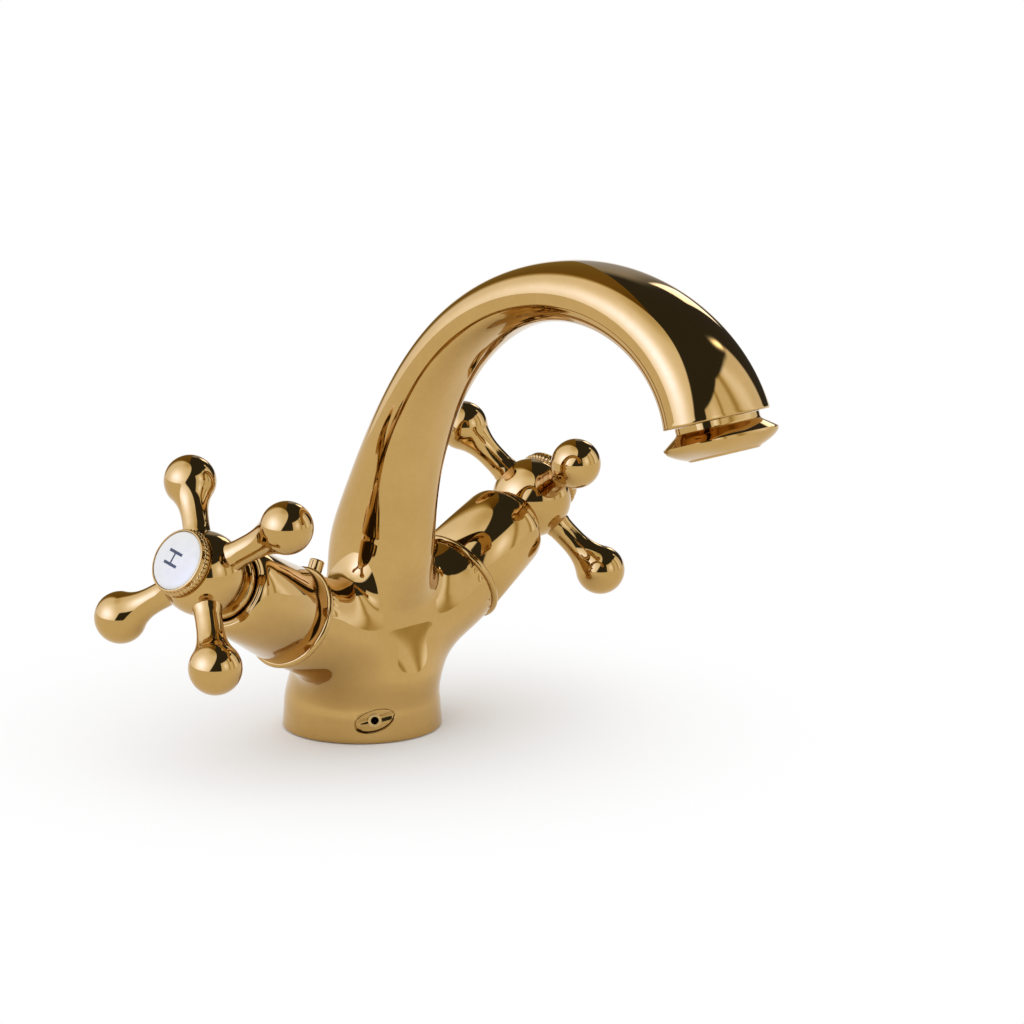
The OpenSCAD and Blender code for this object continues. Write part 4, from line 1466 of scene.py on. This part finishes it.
@dataclass
class Valve(OnValve):
    """What stands still on one valve axis: the collar ring, the bonnet and the lock screw."""

    ring_r: float = 15.5 * MM
    ring_t: float = 2.2 * MM
    ring_bore_r: float = 12.3 * MM
    bonnet_r: float = 13.5 * MM
    base_r: float = 14.6 * MM
    base_edge: float = 0.25 * MM
    bonnet_l: float = 26.8 * MM
    bonnet_wall: float = 1.1 * MM
    shoulder_l: float = 6.0 * MM
    lip_l: float = 0.55 * MM
    lip_r: float = 11.7 * MM
    mouth_r: float = 10.6 * MM
    lock_at: float = 36.5 * MM
    lock_turn: float = math.radians(3)
    lock_r: float = 2.2 * MM
    lock_h: float = 4.2 * MM
    lock_stem_r: float = 1.4 * MM
    lock_stem_l: float = 4.0 * MM
    lock_recess_r: float = 0.9 * MM
    lock_recess_h: float = 0.7 * MM

    @property
    def bonnet_end(self) -> float:
        """Distance of the bonnet's mouth along the valve axis."""
        return self.casting.arm_end + self.ring_t + self.bonnet_l

    def collar_ring(self) -> None:
        """Builds the bead between the arm and the bonnet."""
        base = self.casting.arm_end
        bead = self.ring_t / 2
        outline = [(self.ring_bore_r, base)]
        outline += arc((self.ring_r - bead, base + bead), bead, -90, 90, 22)
        outline.append((self.ring_bore_r, base + self.ring_t))
        self._turned(outline, "bead_ring", "collar_ring")

    def bonnet(self) -> None:
        """Builds the smooth cover of the cartridge."""
        base = self.casting.arm_end + self.ring_t
        shoulder = self.bonnet_end - self.shoulder_l
        rise = self.shoulder_l - self.lip_l
        outline = [(self.base_r - self.base_edge, base), (self.base_r, base + self.base_edge)]
        for cos, sin in quarter(24):
            outline.append((self.lip_r + (self.bonnet_r - self.lip_r) * cos, shoulder + rise * sin))
        lip = rounded(
            [
                (*outline[-1], 0),
                (self.lip_r - 0.44 * MM, self.bonnet_end, 0.3 * MM),
                (self.mouth_r, self.bonnet_end, 0.25 * MM),
                (self.mouth_r, shoulder, 0),
                (self.bonnet_r - self.bonnet_wall, shoulder, 0),
                (self.bonnet_r - self.bonnet_wall, base, 0),
            ],
            6,
        )
        self._turned(outline + lip[1:], "bonnet_cover", "bonnet", 50)

    def lock_screw(self) -> None:
        """Builds the small screw on top of the arm, with the recess in its head."""
        seat = self.casting.arm_end_r + 0.1 * MM
        top = seat + self.lock_h
        recess = top - self.lock_recess_h
        outline = [(self.lock_stem_r, seat - self.lock_stem_l)]
        outline += rounded(
            [
                (self.lock_stem_r, seat, 0),
                (self.lock_r, seat, 0.2 * MM),
                (self.lock_r, top, 1.2 * MM),
                (self.lock_recess_r, top, 0.25 * MM),
                (self.lock_recess_r - 0.2 * MM, recess, 0.1 * MM),
                (0.0, recess, 0),
            ]
        )
        shell = Shell()
        shell.lathe(self.axis.turned(self.lock_turn, self.lock_at), outline, 48)
        self._make(shell, "lock_screw_head", "lock_screw")

    def build(self) -> None:
        """Builds the fixed pieces of this valve."""
        self.collar_ring()
        self.bonnet()
        self.lock_screw()


@dataclass
class CrossHandle(OnValve):
    """One ball-ended cross handle with its beaded rim and porcelain index disc."""

    skirt_at: float = 65.0 * MM
    skirt_r: float = 10.2 * MM
    skirt_bore_r: float = 8.6 * MM
    hub_at: float = 79.5 * MM
    hub_r: float = 12.2 * MM
    hub_back: float = 70.9 * MM
    rim_r: float = 9.9 * MM
    rim_t: float = 3.8 * MM
    rim_bore_r: float = 6.9 * MM
    bead_count: int = 44
    bead_depth: float = 0.5 * MM
    bead_half_w: float = 0.72 * MM
    bead_half_h: float = 0.9 * MM
    disc_r: float = 8.6 * MM
    disc_dome: float = 1.3 * MM
    ball_reach: float = 30.85 * MM
    ball_r: float = 7.595 * MM
    arm_neck_r: float = 3.9 * MM
    arm_join: float = -34.0
    closed_turn: float = math.radians(34.7)
    letter_h: float = 5.6 * MM
    letter_w: float = 3.7 * MM
    letter_bar: float = 0.85 * MM
    letter_cross: float = 0.6 * MM
    letter_turn: float = math.radians(78)

    @property
    def body(self) -> str:
        """Name of the body that the pieces turn with."""
        return self.side.handle_body

    @property
    def hub_front(self) -> float:
        """Distance of the hub's flat front along the valve axis."""
        face = self.rim_r - 0.1 * MM
        return self.hub_at + math.sqrt(self.hub_r**2 - face**2)

    @property
    def rim_at(self) -> float:
        """Distance of the rim's back along the valve axis."""
        return self.hub_front + 0.1 * MM

    def hub(self) -> None:
        """Builds the round boss with its skirt."""
        low = math.degrees(math.asin((self.hub_back - self.hub_at) / self.hub_r))
        high = math.degrees(math.asin((self.hub_front - self.hub_at) / self.hub_r))
        ball = arc((0.0, self.hub_at), self.hub_r, low, high, 40)
        skirt = rounded(
            [
                (self.skirt_bore_r, self.hub_back - 2.5 * MM, 0),
                (self.skirt_bore_r, self.skirt_at, 0.2 * MM),
                (self.skirt_r, self.skirt_at, 0.4 * MM),
                (self.skirt_r - 0.15 * MM, self.hub_back - 1.0 * MM, 0.5 * MM),
                (ball[0][0] - 0.75 * MM, self.hub_back - 0.35 * MM, 0.3 * MM),
                (ball[0][0], self.hub_back + 0.1 * MM, 0),
            ]
        )
        face = [(self.rim_bore_r, self.hub_front)]
        self._turned(skirt[:-1] + ball + face, "cross_hub", "handle_hub", 35)

    def arm_outline(self) -> Outline:
        """Outline of one arm from its foot in the hub to the pole of its ball.

        Returns:
            The outline.
        """
        foot = self.hub_r - 1.1 * MM
        waist = foot + 3.6 * MM
        start = math.radians(self.arm_join)
        join_r = self.ball_r * math.cos(start)
        join_at = self.ball_reach + self.ball_r * math.sin(start)
        slope = -math.tan(start)
        thick = self.arm_neck_r + 0.35 * MM
        outline: Outline = [(thick, foot - 1.4 * MM), (thick, foot + 0.9 * MM)]
        outline.append((self.arm_neck_r + 0.12 * MM, foot + 1.7 * MM))
        steps = 26
        run = join_at - waist
        for i in range(steps):
            t = i / steps
            rise = join_r - self.arm_neck_r
            r = self.arm_neck_r + rise * (3 * t**2 - 2 * t**3) + slope * run * (t**3 - t**2)
            outline.append((max(r, self.arm_neck_r * 0.98), waist + run * t))
        outline += arc((0.0, self.ball_reach), self.ball_r, self.arm_join, 90, 44)
        return outline

    def arms(self) -> None:
        """Builds the four ball-ended arms."""
        shell = Shell()
        for k in range(4):
            place = self.axis.turned(self.closed_turn + k * math.pi / 2, self.hub_at)
            shell.lathe(place, self.arm_outline(), 96)
        self._make(shell, "ball_arms", "handle_arms")

    def rim(self) -> None:
        """Builds the beaded rim around the disc."""
        per_bead = 12
        count = self.bead_count * per_bead
        share = (np.arange(count) % per_bead + 0.5) / per_bead
        bulge = np.sqrt(np.maximum(1 - (2 * share - 1) ** 2, 0))
        turn = np.arange(count) * 2 * np.pi / count
        inner = self.disc_r + 0.1 * MM
        back, top, edge = self.rim_at, self.rim_at + self.rim_t, self.rim_r
        seat = back + 1.0 * MM
        # radius, height, and how fully the notches between the beads cut in
        profile = [(self.rim_bore_r, back, 0.0), (edge - 0.75 * MM, back, 0.0)]
        profile.append((edge - 0.62 * MM, back + 0.25 * MM, 0.0))
        for i in range(11):
            a = math.radians(-78 + 156 * i / 10)
            r = edge - self.bead_half_w * (1 - math.cos(a))
            height = back + 0.42 * self.rim_t + self.bead_half_h * math.sin(a)
            profile.append((r, height, math.cos(a) ** 0.5))
        profile += [(edge - 0.66 * MM, top - 0.55 * MM, 0.0), (edge - 0.62 * MM, top - 0.25 * MM, 0.0)]
        profile += [(edge - 0.85 * MM, top, 0.0), (inner + 0.12 * MM, top, 0.0)]
        profile += [(inner, top - 0.15 * MM, 0.0), (inner, seat, 0.0), (5.0 * MM, seat, 0.0)]
        rings = []
        for r, z, weight in profile:
            rings.append(lifted(circle(r - self.bead_depth * weight * (1 - bulge), turn), z))
        shell = Shell()
        shell.loft(self.axis.out(np.array(rings)), self.axis.mirrored)
        self._make(shell, "beaded_rim", "index_rim", 50)

    def _dome(self, x: np.ndarray, y: np.ndarray) -> np.ndarray:
        """Height of the disc's dome along the valve axis.

        Args:
            x: first flat coordinate on the disc.
            y: second flat coordinate.

        Returns:
            The heights.
        """
        share = np.clip((x * x + y * y) / self.disc_r**2, 0, 1)
        top = self.rim_at + self.rim_t
        return top - self.disc_dome / 4 + self.disc_dome * np.sqrt(1 - share)

    def disc(self) -> None:
        """Builds the domed porcelain disc."""
        back = self.rim_at + 1.1 * MM
        outline: Outline = [(0.0, back), (self.disc_r, back)]
        for cos, _ in quarter(30):
            r = self.disc_r * cos
            outline.append((r, float(self._dome(np.array(r), np.array(0.0)))))
        shell = Shell()
        shell.lathe(self.axis, outline)
        self._make(shell, "porcelain_disc", "index_disc", 60, PORCELAIN, Slot.PORCELAIN)

    def _stroke(self, shell: Shell, centre: np.ndarray) -> None:
        """Adds one enamel stroke that follows the dome.

        Args:
            shell: the shell that takes the faces.
            centre: array of stations, points across and flat coordinates.
        """
        height = self._dome(centre[..., 0], centre[..., 1]) + 0.03 * MM
        points = np.concatenate([centre, height[..., None]], axis=-1)
        shell.loft(self.axis.out(points), not self.axis.mirrored, closed=False)

    def mark(self) -> None:
        """Draws H for hot or C for cold in black enamel, turned as the closed handle stands."""
        shell = Shell()
        along = np.array([math.cos(self.letter_turn), math.sin(self.letter_turn)])
        across = np.array([along[1], -along[0]])
        middle = np.array([0.2 * MM, 0.7 * MM])
        width = np.linspace(-0.5, 0.5, 5)[None, :, None]
        if self.side is Side.HOT:
            run = np.linspace(-0.5, 0.5, 21)[:, None, None]
            for side in (-1, 1):
                post = middle + across * side * self.letter_w / 2
                self._stroke(shell, post + run * self.letter_h * along + width * self.letter_bar * across)
            bridge = run * self.letter_w * across + width * self.letter_cross * along
            self._stroke(shell, middle + bridge)
        else:
            turn = np.radians(np.linspace(42, 318, 61))[:, None, None]
            radius = (self.letter_h - self.letter_bar) / 2 + width * self.letter_bar
            self._stroke(shell, middle + (np.cos(turn) * across + np.sin(turn) * along) * radius)
        self._make(shell, "index_mark", finish=ENAMEL, slot=Slot.PORCELAIN)

    def build(self) -> None:
        """Builds the turning pieces of this handle."""
        self.hub()
        self.arms()
        self.rim()
        self.disc()
        self.mark()


@dataclass
class Inside:
    """The solids that stay as they are, each with its own finish."""

    finishes: dict[str, Finish] = field(
        default_factory=lambda: {
            "base_gasket": RUBBER,
            "chain_eyelet": BRASS,
            "aerator_washer": RUBBER,
            "flow_screen": STEEL,
            "aerator_insert": POLYMER,
        }
    )
    valve_finishes: dict[str, Finish] = field(
        default_factory=lambda: {
            "cartridge_housing": BRASS,
            "seat_seal": RUBBER,
            "fixed_disc": CERAMIC,
            "thrust_washer": POLYMER,
            "flange_seal": RUBBER,
            "moving_disc": CERAMIC,
            "spindle": BRASS,
            "spindle_orings": RUBBER,
            "circlip": STEEL,
            "handle_screw": STEEL,
        }
    )

    def build(self) -> None:
        """Gives every solid that stays its finish."""
        table = dict(self.finishes)
        for side in Side:
            table |= {f"{side.value}_{name}": finish for name, finish in self.valve_finishes.items()}
        for name, finish in table.items():
            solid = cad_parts[name]
            solid.data.materials.clear()
            solid.data.materials.append(finish.material())
            LOG.info("%s: %s", name, finish.name)


@dataclass(frozen=True)
class Glow:
    """A soft hump of light in the studio: strength, direction and spread, in degrees."""

    strength: float
    around: float
    spread: float
    level: float | None = None
    rise: float | None = None

    def at(self, around: Wire, level: Wire) -> Wire:
        """Its light in a direction.

        Args:
            around: degrees to the right of the camera's side.
            level: degrees above the floor.

        Returns:
            The light.
        """
        light = self.strength * around.bell(self.around, self.spread)
        return light if self.level is None else light * level.bell(self.level, self.rise)


WHITE: Colour = (1.0, 1.0, 1.0)


@dataclass
class Studio:
    """Camera, floor and the soft boxes around the faucet."""

    azimuth: float = math.radians(47.9955)
    elevation: float = math.radians(12.0881)
    distance: float = 1.100
    focal_px: float = 3669.4361
    frame_px: float = 1024.0
    sensor: float = 36.0
    aim_right: float = 44.8396 * MM
    aim_up: float = 63.1632 * MM
    near_clip: float = 0.05
    floor_rings: tuple[float, ...] = (3.0, 1.6, 0.8, 0.3, 0.12, 0.05, 0.0)
    floor_drop: float = 0.2 * MM
    box_glow: Glow = Glow(1.1, -62, 36, 20, 28)
    panel_glows: tuple[Glow, ...] = (Glow(0.55, 53, 9, 17, 12), Glow(0.3, 105, 6))
    panel_battens: tuple[Glow, ...] = (Glow(0.45, 70, 3), Glow(0.45, 93.5, 4))
    spot: Glow = Glow(1.0, 126, 2.4, 37, 2.4)
    spot_light: Colour = (4.0, 4.0, 4.0)
    window_light: Colour = (2.6, 2.6, 2.6)
    fade_green: float = 1.3
    fade_blue: float = 2.3

    def _axes(self) -> np.ndarray:
        """Right, up and backward directions of the camera, as rows.

        Returns:
            The three directions.
        """
        sa, ca = math.sin(self.azimuth), math.cos(self.azimuth)
        se, ce = math.sin(self.elevation), math.cos(self.elevation)
        return np.array([[ca, -sa, 0], [sa * se, ca * se, ce], [-sa * ce, -ca * ce, se]])

    def camera(self) -> None:
        """Places the camera at the photograph's viewpoint."""
        axes = self._axes()
        data = bpy.data.cameras.new("studio_camera")
        data.sensor_width = self.sensor
        data.lens = self.focal_px / self.frame_px * self.sensor
        data.clip_start = self.near_clip
        made = linked("studio_camera", data)
        place = axes[0] * self.aim_right + axes[1] * self.aim_up + axes[2] * self.distance
        matrix = Matrix(axes.T.tolist()).to_4x4()
        matrix.translation = Vector(place)
        made.matrix_world = matrix
        bpy.context.scene.camera = made

    def floor(self) -> None:
        """Lays the pale paper floor, a plain disc just below the standing face."""
        shell = Shell()
        shell.lathe(UPRIGHT, [(r, -self.floor_drop) for r in self.floor_rings], 96)
        shell.placed("paper_floor", FLOOR, 40.0)

    def _directions(self, shading: Shading) -> tuple[Wire, Wire]:
        """Splits the direction of a ray of the world.

        Args:
            shading: the world's tree.

        Returns:
            Degrees to the right of the camera's side, and degrees above the floor.
        """
        ray = shading.node("ShaderNodeTexCoord", output="Generated")
        axes = self._axes()
        shares = []
        dot = {"operation": "DOT_PRODUCT"}
        for axis in (axes[0], unit([axes[2][0], axes[2][1], 0]), (0.0, 0.0, 1.0)):
            shares.append(shading.node("ShaderNodeVectorMath", dot, {0: ray, 1: tuple(axis)}, "Value"))
        right, front, up = shares
        around = right.angle_from(front) * math.degrees(1)
        return around, up.angle_from((right * right + front * front) ** 0.5) * math.degrees(1)

    def _lights(self, shading: Shading, around: Wire, level: Wire) -> Wire:
        """Writes the lights that polished metal mirrors, with the dark gaps between them.

        Args:
            shading: the world's tree.
            around: degrees to the right of the camera's side.
            level: degrees above the floor.

        Returns:
            The light's colour.
        """
        # the large soft box on the left, dimmer overhead and behind the faucet
        behind = abs(around).step(128, 150) * around.step(-30, 30).flipped()
        box = (1.22 + self.box_glow.at(around, level)) * (1 - 0.3 * level.step(60, 86)) * (1 - 0.8 * behind)
        box_edge = (around - 0.6 * level).step(-23, -17).flipped()
        # the panel on the right, with two darker battens and an upper edge that falls to both ends
        panel = 1.05 + self.panel_glows[0].at(around, level) + self.panel_glows[1].at(around, level)
        for batten in self.panel_battens:
            panel -= batten.at(around, level)
        panel_top = level + 0.16 * abs(around - 85)
        panel_edge = around.band(32, 128, 4) * panel_top.step(38.5, 41).flipped()
        gaps = 0.045 + 0.36 * abs(around).step(162, 174) * level.step(30, 44).flipped()
        colour = shading.mix(box_edge, gaps, shading.warmed(box, self.fade_green, self.fade_blue))
        colour = shading.mix(panel_edge, colour, shading.warmed(panel, self.fade_green, self.fade_blue))
        # the window behind on the right, one small spot, and the lit foot of the backdrop
        window = abs(around).band(155, 166, 2) * around.step(0, 10) * level.band(15, 31, 2)
        colour = shading.mix(window, colour, self.window_light)
        colour = shading.mix(self.spot.at(around, level), colour, self.spot_light)
        backdrop = abs(around).step(162, 168) * level.step(3, 8).flipped()
        return shading.mix(backdrop, colour, WHITE)

    def surroundings(self) -> None:
        """Writes the studio around the faucet: its lights for mirrored rays, plain white for the rest."""
        world = bpy.data.worlds.new("studio")
        bpy.context.scene.world = world
        world.use_nodes = True
        # with importance sampling, diffuse surfaces would take the mirrored lights, not plain white
        world.cycles.sampling_method = "NONE"
        shading = Shading(world.node_tree)
        colour = self._lights(shading, *self._directions(shading))
        for ray in ("Is Diffuse Ray", "Is Camera Ray"):
            colour = shading.mix(shading.node("ShaderNodeLightPath", output=ray), colour, WHITE)
        background = shading.node("ShaderNodeBackground", {}, {"Color": colour, "Strength": 1.0})
        shading.node("ShaderNodeOutputWorld", {}, {"Surface": background})

    def build(self) -> None:
        """Sets up the studio."""
        self.camera()
        self.floor()
        self.surroundings()
        bpy.context.scene.view_settings.view_transform = "Standard"


def main() -> None:
    """Builds the faucet's visible pieces, dresses what stays, and sets up the studio."""
    logging.basicConfig(level=logging.INFO, format="%(message)s")
    casting = Casting()
    builders: list[Callable[[], None]] = [casting.build]
    outlet = Outlet(casting)
    builders += [outlet.shroud, outlet.aerator]
    for side in Side:
        builders += [Valve(casting, side).build, CrossHandle(casting, side).build]
    builders += [Inside().build, Studio().build]
    for build in builders:
        build()
    bpy.context.view_layer.update()


if __name__ == "__main__":
    main()
